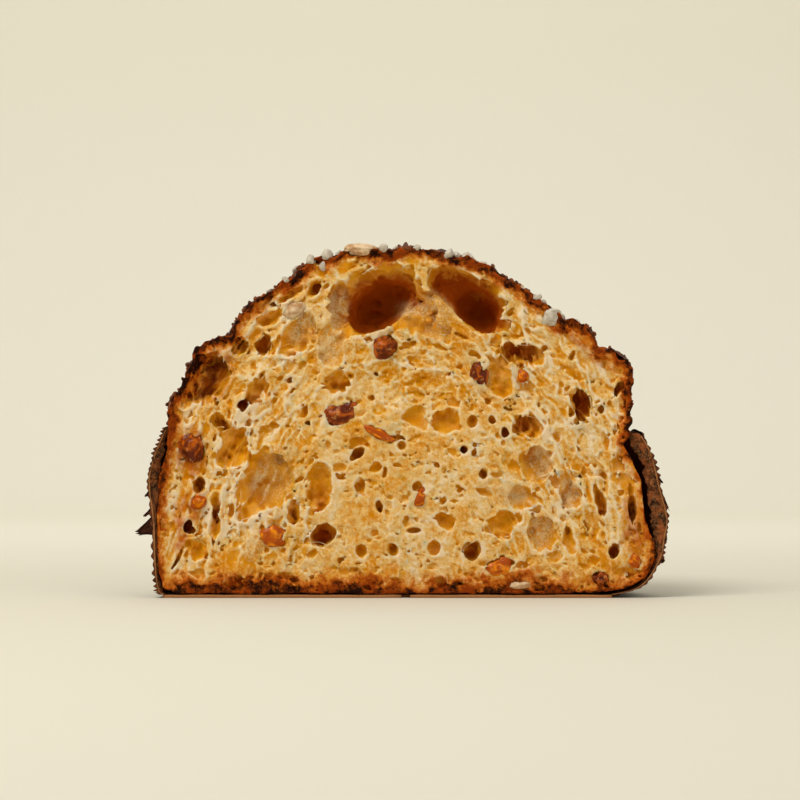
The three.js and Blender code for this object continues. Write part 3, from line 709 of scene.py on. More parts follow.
def make_strands(material):
    """Thin torn strands that bridge the rims of the wider bubbles."""
    rng = np.random.default_rng(19)
    steps, sides = 14, 6
    t = np.linspace(0, 1, steps)
    turn = np.linspace(0, 2 * math.pi, sides, endpoint=False)
    j, i = grid(np.arange(steps - 1), np.arange(sides))
    here, beside = j * sides + i, j * sides + (i + 1) % sides
    quads = np.stack([here, beside, beside + sides, here + sides], -1).reshape(-1, 4)
    tubes = []
    for index, (cx, cz, half_u, half_v, tilt, half_w) in enumerate(BUBBLES):
        if min(half_u, half_v) < 3.2 or half_w < 4:
            continue
        for _ in range(rng.integers(1, 4)):
            start = rng.uniform(0, 2 * math.pi)
            ends = [start, start + rng.uniform(0.6, 1.3)]
            ends = np.stack([np.cos(ends) * half_u, np.sin(ends) * half_v], 1) * 1.02
            chord = ends[1] - ends[0]
            line = ends[0] * (1 - t[:, None]) + ends[1] * t[:, None]
            wave = 0.12 * np.linalg.norm(chord) * np.sin(np.pi * t) * rng.uniform(-1, 1)
            normal = np.array([-chord[1], chord[0]])
            line = line + wave[:, None] * normal / np.linalg.norm(normal)
            x, z = turned(line[:, 0], line[:, 1], -math.radians(tilt))
            x, z = x + cx, z + cz
            loose = any(in_bubble(x[k], z[k], index) for k in (0, 1, -2, -1))
            if loose or np.hypot(x[0] - x[-1], z[0] - z[-1]) > LONGEST_STRAND:
                continue
            y = 1.5 + rng.uniform(0, 1.5) + 1.2 * np.sin(np.pi * t) * rng.uniform(0.2, 1)
            middle = np.stack([x, y, z], 1)
            thick = rng.uniform(0.12, 0.26) * (0.75 + 0.9 * np.abs(2 * t - 1) ** 2)
            along = np.gradient(middle, axis=0)
            along /= np.linalg.norm(along, axis=1, keepdims=True)
            across = np.cross(along, [0.0, 1.0, 0.0])
            across /= np.linalg.norm(across, axis=1, keepdims=True)
            front = np.cross(across, along)
            ring = across[:, None] * np.cos(turn)[:, None] + front[:, None] * np.sin(turn)[:, None]
            tube = middle[:, None] + ring * thick[:, None, None]
            tubes.append((tube.reshape(-1, 3) + [0, CUT_Y, 0], quads))
    values = {"deep": 0.0, "pit": 0.3, "under": OUTSIDE, "strand": 0.8}
    piece = make_piece("strands", *joined(tubes), material, **values)


# The crust behind the cut
def crust_points(angle, station):
    """Where the crust lies at angles round from the right and stations up the outline."""
    t = station / (len(LOAF_LEFT) - 1)
    share = ((1 + np.cos(angle)) / 2)[..., None]
    rz = spline(LOAF_RIGHT, t) * share + spline(LOAF_LEFT, t) * (1 - share)
    r, z = rz[..., 0], rz[..., 1]
    start = np.arcsin(np.minimum(1.0, 1.6 / np.maximum(r, 1.7)))
    turn = start + (np.pi - 2 * start) * angle / np.pi
    return r, z, turn


def make_crust(material):
    """The skin of the loaf from low in the mould up to the crown's middle."""
    columns, rows = ((280, 170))
    stations = np.linspace(2.5, len(LOAF_LEFT) - 1.02, rows)
    station, angle = grid(stations, np.linspace(0, np.pi, columns))
    r, z, turn = crust_points(angle, station)
    free = smooth(station, RIM_STATION - 1, RIM_STATION + 1)
    behind = np.abs(np.sin(turn)) * smooth(r, 0, 14) * free
    z = z + behind * 5.5 * noise(on_circle(100, turn, 0 * turn), 38.0, 9)
    p = on_circle(r, turn, z)
    out = p - [0, 0, CORE_Z]
    out /= np.linalg.norm(out, axis=-1, keepdims=True)
    slow = 2.2 * noise(p, 30.0, 8) * free * smooth(p[..., 1], 2, 20)
    push = crag(p, free) + slow - 0.1
    p = p + out * push[..., None]
    p[..., 2] = np.maximum(p[..., 2], 1.75)
    p[..., 1] += CUT_Y
    values = {"up": station.ravel(), "crag": push.ravel()}
    piece = make_piece("crust", p.reshape(-1, 3), grid_faces(rows, columns), material, **values)


# The paper mould
def wall(angle, share):
    """The inside of the mould's wall: its distance from the axis and its height."""
    point = spline(WALL_ROUND, share)
    base = point.copy()
    for ends, from_cut in ((WALL_RIGHT, angle), (WALL_LEFT, np.pi - angle)):
        weight = np.exp(-((from_cut * 109.4 / SPRING_LENGTH) ** 2))[..., None]
        point = point + (spline(ends, share) - base) * weight
    wavy = share * 0.7 * np.sin(5 * angle + 1) * np.sin(angle)
    return point[..., 0] + 0.4 * wavy, point[..., 1] + share * wavy


def paper_sheet(name, inner, outer, material, ragged, seed):
    """A sheet between two surfaces, each rows of heights by columns of angles, ragged at the cut."""
    rows, columns = inner.shape[:2]
    both = []
    ends = np.exp(-(np.minimum(np.arange(columns), np.arange(columns)[::-1]) / 2.2) ** 2)
    for k, surface in enumerate((inner, outer)):
        p = surface.copy()
        spot = p * [0, 0, 1] + [p[0, 0, 0], 3.0 * k, 0]
        tear = noise(spot, 2.6, seed) + 0.7 * noise(spot, 1.1, seed + 1)
        p[..., 1] -= ends[None, :] * (0.3 + tear) * ragged * smooth(np.abs(p[..., 0]), 4, 12)
        both.append(p)
    points = np.concatenate([s.reshape(-1, 3) for s in both])
    shift = rows * columns
    faces = [grid_faces(rows, columns, flip=True), grid_faces(rows, columns) + shift]
    i, j = np.arange(columns), np.arange(rows)
    for edge in (i, (rows - 1) * columns + i[::-1], j[::-1] * columns, j * columns + columns - 1):
        faces.append(np.stack([edge[:-1], edge[1:], edge[1:] + shift, edge[:-1] + shift], 1))
    place = points + [0, CUT_Y, 0]
    piece = make_piece(name, place, np.concatenate(faces), material, cut=points[:, 1])
    return piece


def make_mould(rib_material, liner_material):
    """The ribbed wall, its smooth lining and the base, as three sheets."""
    columns = 150
    per_rib = 5

    def wall_grid(rows, lowest=0.0):
        return grid(np.linspace(lowest, 1, rows), np.linspace(0, np.pi, columns))

    share, angle = wall_grid(RIBS * per_rib + 1)
    r, z = wall(angle, share)
    spot = on_circle(60, angle, z)
    flat = spot * [1, 1, 0]
    frayed = smooth(share, 0.93, 1.0)
    z = z + frayed * (0.9 * noise(flat, 5.0, 51) + 0.6 * noise(flat, 1.7, 52))
    swell = 0.5 - 0.5 * np.cos(2 * np.pi * share * RIBS)
    near_cut = np.exp(-((np.sin(angle) * 109 / 9.0) ** 2))
    swell = swell**0.75 * (1 + 0.22 * noise(spot, 6.0, 53)) + 0.12 * noise(spot, 3.0, 54)
    swell = swell * (1 + near_cut * 0.9 * noise(spot, 7.0, 151))
    swell = swell + near_cut * 0.35 * noise(spot, 1.6, 152)
    inner = on_circle(r + LINER + 0.05, angle, z)
    outer = on_circle(r + LINER + 0.15 + RIB_DEPTH * swell, angle, z)
    ribs = paper_sheet("mould_ribs", inner, outer, rib_material, 0.9, 61)
    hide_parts("paper_mould")

    share, angle = wall_grid(50)
    r, z = wall(angle, share)
    spot = on_circle(60, angle, z)
    bump = 0.12 * noise(spot, 4.0, 55) + 0.06 * noise(spot, 1.6, 56)
    z = z - smooth(share, 0.93, 1.0) * (0.8 + 0.6 * noise(spot * [1, 1, 0], 3.0, 57))
    inner = on_circle(r + bump, angle, z)
    outer = on_circle(r + LINER + bump * 0.3, angle, z)
    paper_sheet("mould_liner", inner, outer, liner_material, 0.7, 71)

    reach, angle = wall_grid(24, 0.02)
    edge = wall(angle, np.zeros_like(angle))[0] + LINER
    under = on_circle(edge * reach, angle, np.zeros_like(reach))
    top = on_circle(edge * reach, angle, 1.25 + 0.12 * noise(under, 6.0, 58))
    paper_sheet("mould_base", top, under, liner_material, 0.5, 81)


# Torn paper that faces the cut: heights and how far it reaches in from the wall, left and right.
TORN_LEFT = [(4, 1.2), (16, 1.6), (26, 2.6), (36, 3.2), (46, 4.4), (56, 4.6), (64, 2.8), (70, 1.2)]
TORN_RIGHT = [
    (4, 1.4), (10, 2.0), (16, 3.0), (22, 4.2), (32, 5.8), (42, 5.6), (52, 5.0), (60, 5.2), (68, 6.4),
    (72, 5.6),
]
# Loose flaps: side, height of the root, length, drop of the tip, breadth of the root.
FLAPS = [
    (-1, 31, 6.2, 3.2, 8.5), (-1, 37.5, 3.4, 2.4, 3.0), (-1, 45, 2.2, 1.4, 3.0), (1, 44, 1.7, 6.0, 7.0),
    (1, 27, 1.2, 3.0, 6.0), (1, 52, 1.8, 2.6, 3.0), (-1, 12, 1.8, 2.2, 3.0), (1, 17, 2.4, 2.0, 4.0),
]
FLAP_THICK = 0.35
FAR_FROM_CUT = 3.0  # in mm; there the paper no longer has the colour of a torn edge


def make_torn_paper(inner_material, outer_material):
    """The fibrous torn faces at both ends of the wall, and the loose flaps outside."""
    rows, across = 150, 22
    parts = []
    for side, widths in ((-1, TORN_LEFT), (1, TORN_RIGHT)):
        share, u = grid(np.linspace(0.02, 0.995, rows), np.linspace(0, 1, across))
        r, z = wall(np.where(side > 0, 0.0, np.pi) + 0 * share, share)
        width = np.interp(z, *zip(*widths))
        flat = np.stack([side * u * 6, 0 * z, z], -1)
        line = flat * [0, 0, 1] + side
        ragged = (0.9 * noise(line, 3.4, 161) + 0.6 * noise(line, 1.3, 162)) * u
        reach = width * u * (1 + 0.22 * ragged) + 0.5 * ragged
        rough = 1.0 * noise(flat, 4.5, 163) + 0.9 * noise(flat, 1.8, 164) + 0.4 * noise(flat, 0.9, 165)
        back = 0.9 + rough * (0.4 + 0.6 * u) + 2.4 * u**2
        top = smooth(share, 0.9, 1.0) * (2.4 * noise(flat * [1, 0, 0] + side, 2.6, 166) - 0.4)
        spot = np.stack([side * (r + 0.2 - reach), CUT_Y + np.maximum(back, -0.2), z + top], -1)
        parts.append((spot.reshape(-1, 3), grid_faces(rows, across, flip=side < 0)))
    piece = make_piece("mould_torn", *joined(parts), inner_material, cut=FAR_FROM_CUT)

    along, across = 14, 15
    border = np.concatenate([
        np.arange(across), np.arange(1, along) * across + across - 1,
        (along - 1) * across + np.arange(across - 2, -1, -1), np.arange(along - 2, 0, -1) * across,
    ])
    beside = np.roll(border, -1)
    behind = along * across
    rim = np.stack([border, beside, beside + behind, border + behind], 1)
    parts = []
    for k, (side, root, length, drop, breadth) in enumerate(FLAPS):
        t, v = grid(np.linspace(0, 1, along), np.linspace(-0.5, 0.5, across))
        z = root - drop * t**1.4 + v * breadth * (1 - 0.75 * t)
        wall_r, wall_z = zip(*(WALL_RIGHT if side > 0 else WALL_LEFT))
        r = np.interp(z, wall_z, wall_r) + LINER
        jag = 0.16 * noise(np.stack([v * 9, 0 * v + k, 0 * v], -1), 1.0, 171)
        r = r + length * t * (1 + jag * 2)
        rib = 0.35 * np.cos(2 * np.pi * v * breadth / 1.7)
        y = CUT_Y + 1.0 + rib + 1.6 * t + 0.6 * noise(np.stack([t * 3, v * 6, 0 * v + k], -1), 1.5, 172)
        front = np.stack([side * r, y, z], -1).reshape(-1, 3)
        sheet = grid_faces(along, across, flip=side > 0)
        faces = [sheet, sheet[:, ::-1] + behind, rim if side < 0 else rim[:, ::-1]]
        parts.append((np.concatenate([front, front + [0, FLAP_THICK, 0]]), np.concatenate(faces)))
    piece = make_piece("mould_flaps", *joined(parts), outer_material, cut=FAR_FROM_CUT)


# Fruit, nuts and sugar
def lump(egg, spot_y, detail, seed, uneven, folds, fine):
    """A wrinkled lump in the place of an egg on the cut face."""
    cx, cz, half_u, half_v, tilt, half_w = egg
    p, f = ball(detail)
    ridge = 1 - 2 * np.abs(noise(p, 0.55, seed))
    shape = 1.02 + uneven * noise(p, 0.95, seed + 1) + folds * ridge + fine * noise(p, 0.22, seed + 2)
    p = p * shape[:, None] * [half_u, half_w, half_v]
    x, z = turned(p[:, 0], p[:, 2], -math.radians(tilt))
    return np.stack([x + cx, p[:, 1] + spot_y, z + cz], 1), f, ridge


# How uneven, folded and finely rough each kind is.
ROUGH = {"raisin": (0.42, 0.18, 0.06), "peel": (0.42, 0.06, 0.05), "almond": (0.2, 0.05, 0.03)}


def make_fruit(materials):
    """Each piece of fruit or nut in the cut face again, wrinkled."""
    for k, (name, egg) in enumerate(FRUIT.items()):
        kind = name.split("_")[0]
        detail = 4 if max(egg[2:4]) > 4 else 3
        spot_y = CUT_Y + FRUIT_SUNK * egg[5]
        points, faces, ridge = lump(egg, spot_y, detail, 100 + 3 * k, *ROUGH[kind])
        piece = make_piece(name + "_skin", points, faces, materials[kind], ridge=ridge)
        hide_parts(name)


def crown_spot(angle, station):
    """One place on the crust, before its crags."""
    r, z, turn = crust_points(np.array([angle]), np.array([station]))
    return on_circle(r, turn, z)[0]


def crown_height(x, deep):
    """Roughly how high the glazed crown stands over a place on the floor."""
    r = math.hypot(x, deep)
    share = (1 + x / max(r, 1e-6)) / 2
    t = np.linspace(GLAZE_STATION / (len(LOAF_LEFT) - 1), 1, 200)
    rz = spline(LOAF_RIGHT, t) * share + spline(LOAF_LEFT, t) * (1 - share)
    k = int(np.argmin(np.abs(rz[:, 0] - r)))
    return rz[k, 1]


def make_almonds(material):
    """Each almond on the crown again, at the size and turn of its solid, pointed and wrinkled."""
    kept = [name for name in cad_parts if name.startswith("almond") and name not in FRUIT]
    ball_points, faces = ball(4)
    for k, name in enumerate(sorted(kept)):
        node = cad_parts[name]
        solid = np.array([node.matrix_world @ v.co for v in node.data.vertices]) / MM
        centre = (solid.max(0) + solid.min(0)) / 2
        axes = np.linalg.svd(solid - centre, full_matrices=False)[2]
        half = np.abs((solid - centre) @ axes.T).max(0)
        point = 1 - 0.3 * smooth(ball_points[:, :1], 0.1, 1.0)
        wrinkle = 1 + 0.16 * noise(ball_points, 0.7, 300 + k)
        wrinkle = wrinkle + 0.09 * noise(ball_points * [1, 4, 4], 0.9, 310 + k)
        shape = ball_points * wrinkle[:, None] * np.concatenate([np.ones_like(point), point, point], 1)
        points = (shape * half) @ axes + centre
        ridge = noise(ball_points, 0.6, 320 + k)
        piece = make_piece(name + "_skin", points, faces, material, ridge=ridge)
        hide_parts(name)


def make_flakes(material):
    """Burst flakes of crust that stand up along the cut edge and over the crown."""
    rng = np.random.default_rng(41)
    base, faces = ball(1)
    flakes = []
    stations = len(LOAF_LEFT) - 1
    for k in range(FLAKE_COUNT):
        if k % 5 < 2:
            turn = rng.choice([rng.uniform(0.005, 0.05), rng.uniform(0.95, 0.995)])
        else:
            turn = rng.uniform(0.04, 0.96)
        station = RIM_STATION + 0.5 + (stations - RIM_STATION - 0.6) * rng.random() ** 0.8
        spot = crown_spot(math.pi * turn, station)
        size = rng.uniform(0.5, 1.5)
        axes = np.linalg.qr(rng.normal(size=(3, 3)))[0]
        flattened = [1.0, rng.uniform(0.4, 0.8), rng.uniform(0.5, 1.0)]
        p = base * (1 + 0.35 * noise(base + k, 0.8, 93))[:, None] * flattened
        out = (spot - [0, 0, CORE_Z]) / np.linalg.norm(spot - [0, 0, CORE_Z])
        lift = crag(spot[None], 1.0)[0] + 0.25 * size
        flakes.append((p @ axes * size + spot + out * lift + [0, CUT_Y, 0], faces))
    dark = np.repeat(rng.uniform(-1.2, 1.0, FLAKE_COUNT), len(base))
    piece = make_piece("crust_flakes", *joined(flakes), material, up=12.0, crag=dark)


# Sugar along the cut: x, height and radius.
CUT_GRAINS = [
    (-52, 136.6, 1.9), (-41, 145.3, 2.4), (-34, 147.6, 2.9), (-35.5, 142.8, 2.2), (-9.6, 150.4, 2.6),
    (4.6, 150.6, 1.9), (18.4, 147.8, 2.8), (56.4, 129.4, 2.0), (62.6, 120.2, 5.0),
]


def make_sugar(material):
    """Pearl sugar: angular grains along the cut and over the crown."""
    rng = np.random.default_rng(77)
    spots = [(x, 0.6 * radius, z, radius) for x, z, radius in CUT_GRAINS]
    for k in range(SUGAR_COUNT):
        angle = math.pi * (0.02 + 0.96 * ((k * GOLDEN) % 1))
        reach = 76 * math.sqrt(rng.uniform(0.01, 1))
        x, deep = reach * math.cos(angle), reach * math.sin(angle)
        radius = rng.uniform(1.1, 2.8)
        if deep < 3:
            continue
        spots.append((x, deep, crown_height(x, deep) + 0.45 * radius, radius))
    base, faces = ball(2)
    grains = []
    for k, (x, deep, z, radius) in enumerate(spots):
        axes = np.linalg.qr(rng.normal(size=(3, 3)))[0]
        planes = rng.normal(size=(12, 3))
        planes /= np.linalg.norm(planes, axis=1, keepdims=True)
        cut = rng.uniform(0.8, 1.0, 12)
        facing = base @ planes.T
        reach = np.min(np.where(facing > 0.05, cut / np.maximum(facing, 0.05), 9), axis=1)
        p = base * np.minimum(reach, 1.1)[:, None]
        p = p * (1 + 0.06 * noise(p + k, 0.5, 91)[:, None] + 0.03 * noise(p + k, 0.2, 92)[:, None])
        p = (p * [1.0, rng.uniform(0.7, 1), rng.uniform(0.6, 0.9)]) @ axes * radius
        grains.append((p + [x, deep + CUT_Y, z], faces))
    piece = make_piece("pearl_sugar", *joined(grains), material, shade=False)


# Materials
def rgb(red, green, blue):
    """A colour as seen on screen, from 0 to 255, for a shader's socket."""
    seen = [c / 255 for c in (red, green, blue)]
    return tuple(c / 12.92 if c <= 0.04 else ((c + 0.055) / 1.055) ** 2.4 for c in seen) + (1.0,)


class Nodes:
    """A small helper that lays out one material's nodes."""

    def __init__(self, name):
        self.material = bpy.data.materials.new(name)
        self.material.use_nodes = True
        self.tree = self.material.node_tree
        self.shader = self.tree.nodes["Principled BSDF"]
        self.where = self.add("TexCoord", "Object", {})

    def link(self, source, target):
        """Links a socket to an input, or sets the input to a value."""
        if hasattr(source, "is_output"):
            self.tree.links.new(source, target)
        else:
            target.default_value = source

    def add(self, kind, output, inputs, **settings):
        """A new node with its inputs linked or set, as one of its outputs."""
        node = self.tree.nodes.new("ShaderNode" + kind)
        for key, value in settings.items():
            setattr(node, key, value)
        for key, value in inputs.items():
            self.link(value, node.inputs[key])
        return node.outputs[output]

    def value(self, name):
        return self.add("Attribute", "Fac", {}, attribute_name=name)

    def noise(self, size_mm, detail=3.0, rough=0.55):
        scale = 1000.0 / size_mm
        inputs = {"Vector": self.where, "Scale": scale, "Detail": detail, "Roughness": rough}
        return self.add("TexNoise", "Fac", inputs)

    def ramp(self, source, low, high, to_low=0.0, to_high=1.0):
        """A smooth step from one value to another while the source goes from low to high."""
        inputs = {"Value": source, "From Min": low, "From Max": high, "To Min": to_low, "To Max": to_high}
        return self.add("MapRange", "Result", inputs, interpolation_type="SMOOTHSTEP")

    def math(self, operation, a, b):
        return self.add("Math", 0, {0: a, 1: b}, operation=operation)

    def mix(self, share, a, b):
        return self.add("Mix", "Result", {"Factor": share, "A": a, "B": b}, data_type="RGBA")

    def bump(self, height, distance_mm, strength=1.0):
        inputs = {"Strength": strength, "Distance": distance_mm * MM, "Height": height}
        self.link(self.add("Bump", "Normal", inputs), self.shader.inputs["Normal"])

    def set(self, **sockets):
        for name, value in sockets.items():
            self.link(value, self.shader.inputs[name.replace("_", " ")])


def crumb_material():
    """Cream crumb with pale skins over bubbles and a toasted, charred edge; the gold where it folds in
    and in its pits, and the dark of its deep pits, are painted shade.
    """
    n = Nodes("open_crumb")
    deep, pit, under, strand = (n.value(name) for name in ("deep", "pit", "under", "strand"))
    brown, veil, streak, crease_shade = (n.value(name) for name in ("brown", "veil", "streak", "crease_shade"))
    patch = n.ramp(n.noise(16.0, 3.0), 0.3, 0.7)
    fluff = n.ramp(n.noise(1.0, 4.0, 0.75), 0.32, 0.68, -1.1, 1.1)
    fluff = n.math("ADD", fluff, n.ramp(n.noise(24.0, 3.0), 0.3, 0.7, -0.8, 0.8))
    cream = n.mix(patch, rgb(227, 184, 102), rgb(225, 192, 126))
    gold = n.mix(patch, rgb(211, 134, 4), rgb(215, 148, 16))
    light = n.math("ADD", n.math("ADD", strand, fluff), n.math("MULTIPLY", streak, 0.8))
    light = n.math("ADD", light, n.ramp(n.noise(9.0, 3.0), 0.3, 0.7, -1.2, 1.2))
    # Painted shade and painted light: golden where the crumb folds in, paler where it bulges out.
    light = n.math("ADD", light, n.ramp(crease_shade, -0.4, 0.5, 1.3, -1.3))
    colour = n.mix(n.ramp(light, -2.0, 1.4), gold, cream)
    colour = n.mix(n.ramp(light, 0.6, 3.2), colour, rgb(228, 207, 170))
    # Painted shade: deeper gold in pits and where the crumb folds in, for the orange shade inside the
    # crumb.
    inner = n.mix(n.ramp(n.noise(5.0, 3.0), 0.3, 0.7), rgb(216, 140, 6), rgb(222, 156, 18))
    sunk = n.math("ADD", pit, n.math("MULTIPLY", crease_shade, 2.0))
    colour = n.mix(n.ramp(sunk, 0.3, 2.4, 0.0, 0.85), colour, inner)
    # Painted shade: darker brown-orange the deeper a pit goes behind the torn face.
    colour = n.mix(n.ramp(pit, 3.0, 10.0), colour, rgb(160, 70, 4))
    skin = n.mix(n.ramp(n.math("ADD", streak, fluff), -0.9, 0.9), rgb(196, 138, 50), rgb(218, 190, 140))
    windows = n.ramp(n.noise(3.2, 3.0), 0.34, 0.46, 0.15, 1.0)
    windows = n.math("MULTIPLY", windows, n.ramp(n.noise(9.0, 3.0), 0.25, 0.55, 0.3, 0.9))
    colour = n.mix(n.math("MULTIPLY", veil, windows), colour, skin)
    # The browned patches are the bread's own toasting; their darkening with depth behind the cut is
    # painted shade.
    stain = n.math("MULTIPLY", brown, n.ramp(n.noise(5.0, 4.0), 0.3, 0.65))
    colour = n.mix(stain, colour, n.mix(n.ramp(deep, 2.0, 6.0), rgb(186, 100, 16), rgb(96, 32, 4)))
    toast = n.math("ADD", under, n.ramp(n.noise(4.0, 4.0, 0.65), 0.25, 0.75, -1.8, 1.8))
    toast = n.math("ADD", toast, n.ramp(n.noise(14.0, 2.0), 0.3, 0.7, -1.2, 1.2))
    colour = n.mix(n.ramp(toast, 3.4, 6.4, 0.8, 0.0), colour, rgb(214, 142, 40))
    colour = n.mix(n.ramp(toast, 2.4, 4.6, 1.0, 0.0), colour, rgb(184, 92, 16))
    char = n.mix(n.ramp(n.noise(7.0, 5.0, 0.7), 0.4, 0.56), rgb(146, 62, 8), rgb(38, 15, 6))
    colour = n.mix(n.ramp(toast, 1.1, 3.0, 1.0, 0.0), colour, char)
    n.set(Base_Color=colour, Roughness=0.8)
    n.set(Subsurface_Weight=0.8, Subsurface_Radius=(1.0, 0.75, 0.5), Subsurface_Scale=0.0022)
    n.set(Specular_IOR_Level=0.04)
    n.bump(n.noise(0.9, 4.0, 0.7), 0.3, 0.45)
    return n.material


def crust_material():
    """A mottled brown glaze, paler on its crags and inside the mould."""
    n = Nodes("glazed_crust")
    crag_value = n.value("crag")
    up = n.value("up")
    blotch = n.ramp(n.noise(12.0, 4.0), 0.35, 0.65)
    speck = n.ramp(n.noise(2.4, 5.0, 0.7), 0.42, 0.62)
    dark = n.mix(blotch, rgb(54, 25, 12), rgb(104, 50, 20))
    colour = n.mix(n.ramp(crag_value, -1.4, 0.3, 1.0, 0.0), dark, rgb(164, 92, 36))
    colour = n.mix(n.math("MULTIPLY", speck, 0.7), colour, rgb(60, 22, 8))
    colour = n.mix(n.ramp(up, 11.0, 14.5, 0.35, 0.0), colour, rgb(120, 58, 22))
    colour = n.mix(n.ramp(up, 6.5, 8.0, 0.7, 0.0), colour, rgb(160, 84, 26))
    n.set(Base_Color=colour, Roughness=n.ramp(n.noise(3.0), 0.3, 0.7, 0.35, 0.65))
    n.set(Coat_Weight=0.05, Coat_Roughness=0.35, Specular_IOR_Level=0.15)
    n.bump(n.noise(1.1, 5.0, 0.65), 0.35, 0.8)
    return n.material


def paper_material(name, dark, light, edge, patches=14.0):
    """Stained baking paper with a paler torn edge; the patches' size is in mm."""
    n = Nodes(name)
    cut = n.value("cut")
    fibre = n.ramp(n.noise(0.9, 5.0, 0.75), 0.4, 0.7)
    patch = n.ramp(n.noise(patches, 4.0), 0.35, 0.7)
    colour = n.mix(patch, dark, light)
    colour = n.mix(n.math("MULTIPLY", fibre, 0.35), colour, edge)
    ragged = n.math("ADD", cut, n.ramp(n.noise(1.4, 3.0), 0.2, 0.8, -0.5, 0.5))
    colour = n.mix(n.ramp(ragged, 0.1, 0.7, 0.85, 0.0), colour, edge)
    n.set(Base_Color=colour, Roughness=0.85, Specular_IOR_Level=0.1)
    n.bump(n.noise(0.6, 4.0, 0.7), 0.1, 0.6)
    return n.material


def fruit_material(name, dark, light, wet):
    """Wrinkled fruit, glossy, with crumb stuck to it and a painted highlight on the crests of its folds
    where it is wet, or a dry nut.
    """
    n = Nodes(name)
    ridge = n.value("ridge")
    blotch = n.ramp(n.noise(3.0, 3.0), 0.35, 0.65)
    # On wet fruit the paler colour lies only on the fold crests, broken by blotches: a painted highlight.
    # On the nut the blotches are its own uneven tone.
    share = n.math("MULTIPLY", n.ramp(ridge, 0.2, 0.9), blotch) if wet else blotch
    colour = n.mix(share, dark, light)
    if wet:
        stuck = n.ramp(n.noise(2.4, 5.0, 0.7), 0.57, 0.64, 0.0, 0.5)
        colour = n.mix(stuck, colour, rgb(216, 156, 84))
    n.set(Base_Color=colour, Roughness=0.24 if wet else 0.55)
    n.set(Subsurface_Weight=0.3, Subsurface_Scale=0.002)
    n.set(Subsurface_Radius=(1.0, 0.35, 0.1) if wet else (1.0, 0.8, 0.6))
    n.set(Specular_IOR_Level=0.16 if wet else 0.06)
    n.bump(n.noise(1.4, 3.0, 0.5), 0.2, 0.4)
    return n.material


def sugar_material():
    n = Nodes("pearl_sugar")
    colour = n.mix(n.ramp(n.noise(1.5, 3.0), 0.3, 0.7), rgb(176, 162, 138), rgb(206, 196, 178))
    n.set(Base_Color=colour, Roughness=0.5)
    n.set(Subsurface_Weight=0.3, Subsurface_Radius=(1.0, 0.9, 0.8), Subsurface_Scale=0.0015)
    n.bump(n.noise(0.5, 4.0, 0.7), 0.12, 0.7)
    return n.material


# Everything that is on the body
crumb = crumb_material()
crust = crust_material()
make_crumb(crumb)
make_strands(crumb)
make_crust(crust)
ribbed = paper_material("ribbed_paper", rgb(26, 11, 6), rgb(56, 26, 13), rgb(112, 64, 36))
liner = paper_material("liner_paper", rgb(76, 35, 16), rgb(122, 62, 30), rgb(170, 116, 68))
make_mould(ribbed, liner)
torn = paper_material("torn_paper", rgb(26, 10, 4), rgb(142, 74, 34), rgb(206, 146, 90), 3.5)
make_torn_paper(torn, ribbed)
# For the raisin and the peel the paler colour is a painted highlight on the crests of their folds.
fruits = {
    "raisin": fruit_material("raisin", rgb(100, 34, 1), rgb(186, 88, 4), True),
    "peel": fruit_material("candied_peel", rgb(172, 74, 1), rgb(238, 142, 4), True),
    "almond": fruit_material("toasted_almond", rgb(176, 130, 84), rgb(218, 190, 150), False),
}
make_fruit(fruits)
make_sugar(sugar_material())
make_almonds(fruits["almond"])
make_flakes(crust)


# Floor, light and camera
FLOOR_FRONT = -2500.0
FLOOR_BACK = 900.0
FLOOR_HALF = 3000.0
FLOOR_TOP = 3000.0
BEND = 400.0
# Each light: place and size in metres, power in watts, and how little blue it has.
LIGHTS = {
    "key": ((-0.6, -0.75, 1.35), (0.8, 0.8), 15, 0.96),
    "fill": ((1.2, -1.3, 0.6), (1.4, 1.2), 3, 0.97),
    "top": ((0.1, 0.5, 1.5), (1.2, 1.2), 5, 0.96),
}
LIT_SPOT = (0.0, -0.03, 0.08)
WORLD_COLOUR = (1.0, 0.985, 0.95, 1.0)
WORLD_STRENGTH = 0.52
CAMERA_AWAY = 1.3  # metres before the cut face
CAMERA_X, CAMERA_Z = -0.0026, 0.0851
FRAME_WIDTH = 0.344  # how many metres of the cut face's plane the picture spans
SENSOR = 36.0


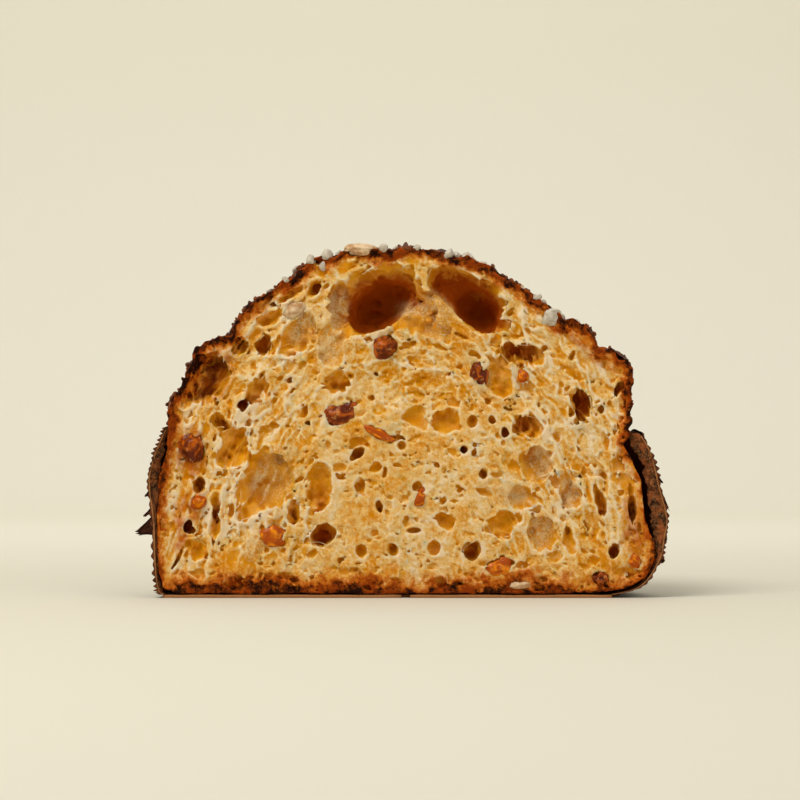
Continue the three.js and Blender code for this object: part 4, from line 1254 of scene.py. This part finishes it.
def make_stage():
    """A pale floor that sweeps up behind the object."""
    n = Nodes("backdrop")
    height, depth = (n.add("SeparateXYZ", axis, {"Vector": n.where}) for axis in "ZY")
    away = n.math("MAXIMUM", n.ramp(height, 0.0, 0.16), n.ramp(depth, 0.0, 0.7))
    colour = n.mix(away, rgb(215, 209, 191), rgb(238, 233, 216))
    n.set(Base_Color=colour, Roughness=0.95, Specular_IOR_Level=0.0)
    turns = np.linspace(0, math.pi / 2, 24)
    profile = [(FLOOR_FRONT, 0.0)]
    profile += [(FLOOR_BACK + BEND * math.sin(t), BEND - BEND * math.cos(t)) for t in turns]
    profile.append((FLOOR_BACK + BEND, FLOOR_TOP))
    points = [(side * FLOOR_HALF, y, z) for y, z in profile for side in (-1, 1)]
    faces = [(2 * k, 2 * k + 1, 2 * k + 3, 2 * k + 2) for k in range(len(profile) - 1)]
    mesh = bpy.data.meshes.new("floor")
    mesh.from_pydata([tuple(c * MM for c in p) for p in points], [], faces)
    mesh.materials.append(n.material)
    for face in mesh.polygons:
        face.use_smooth = True
    floor = add_object("floor", mesh)


def make_lights():
    """Soft lights aimed at the object, and a pale world round it."""
    for name, (place, size, power, blue) in LIGHTS.items():
        light = bpy.data.lights.new(name, "AREA")
        light.shape = "RECTANGLE"
        light.size, light.size_y = size
        light.energy = power
        light.color = (1.0, 0.985, blue)
        lamp = add_object(name, light)
        lamp.location = place
        aim = Vector(LIT_SPOT) - Vector(place)
        lamp.rotation_euler = aim.to_track_quat("-Z", "Y").to_euler()
    world = bpy.data.worlds.new("studio")
    bpy.context.scene.world = world
    world.use_nodes = True
    background = world.node_tree.nodes["Background"]
    background.inputs["Color"].default_value = WORLD_COLOUR
    background.inputs["Strength"].default_value = WORLD_STRENGTH


make_stage()
make_lights()

camera_data = bpy.data.cameras.new("camera")
camera_data.sensor_width = SENSOR
camera_data.lens = SENSOR * CAMERA_AWAY / FRAME_WIDTH
camera_data.clip_end = 20.0
camera = add_object("camera", camera_data)
camera.location = (CAMERA_X, CUT_Y * MM - CAMERA_AWAY, CAMERA_Z)
camera.rotation_euler = (math.pi / 2, 0.0, 0.0)
bpy.context.scene.camera = camera
bpy.context.scene.view_settings.view_transform = "Standard"
bpy.context.scene.view_settings.look = "None"
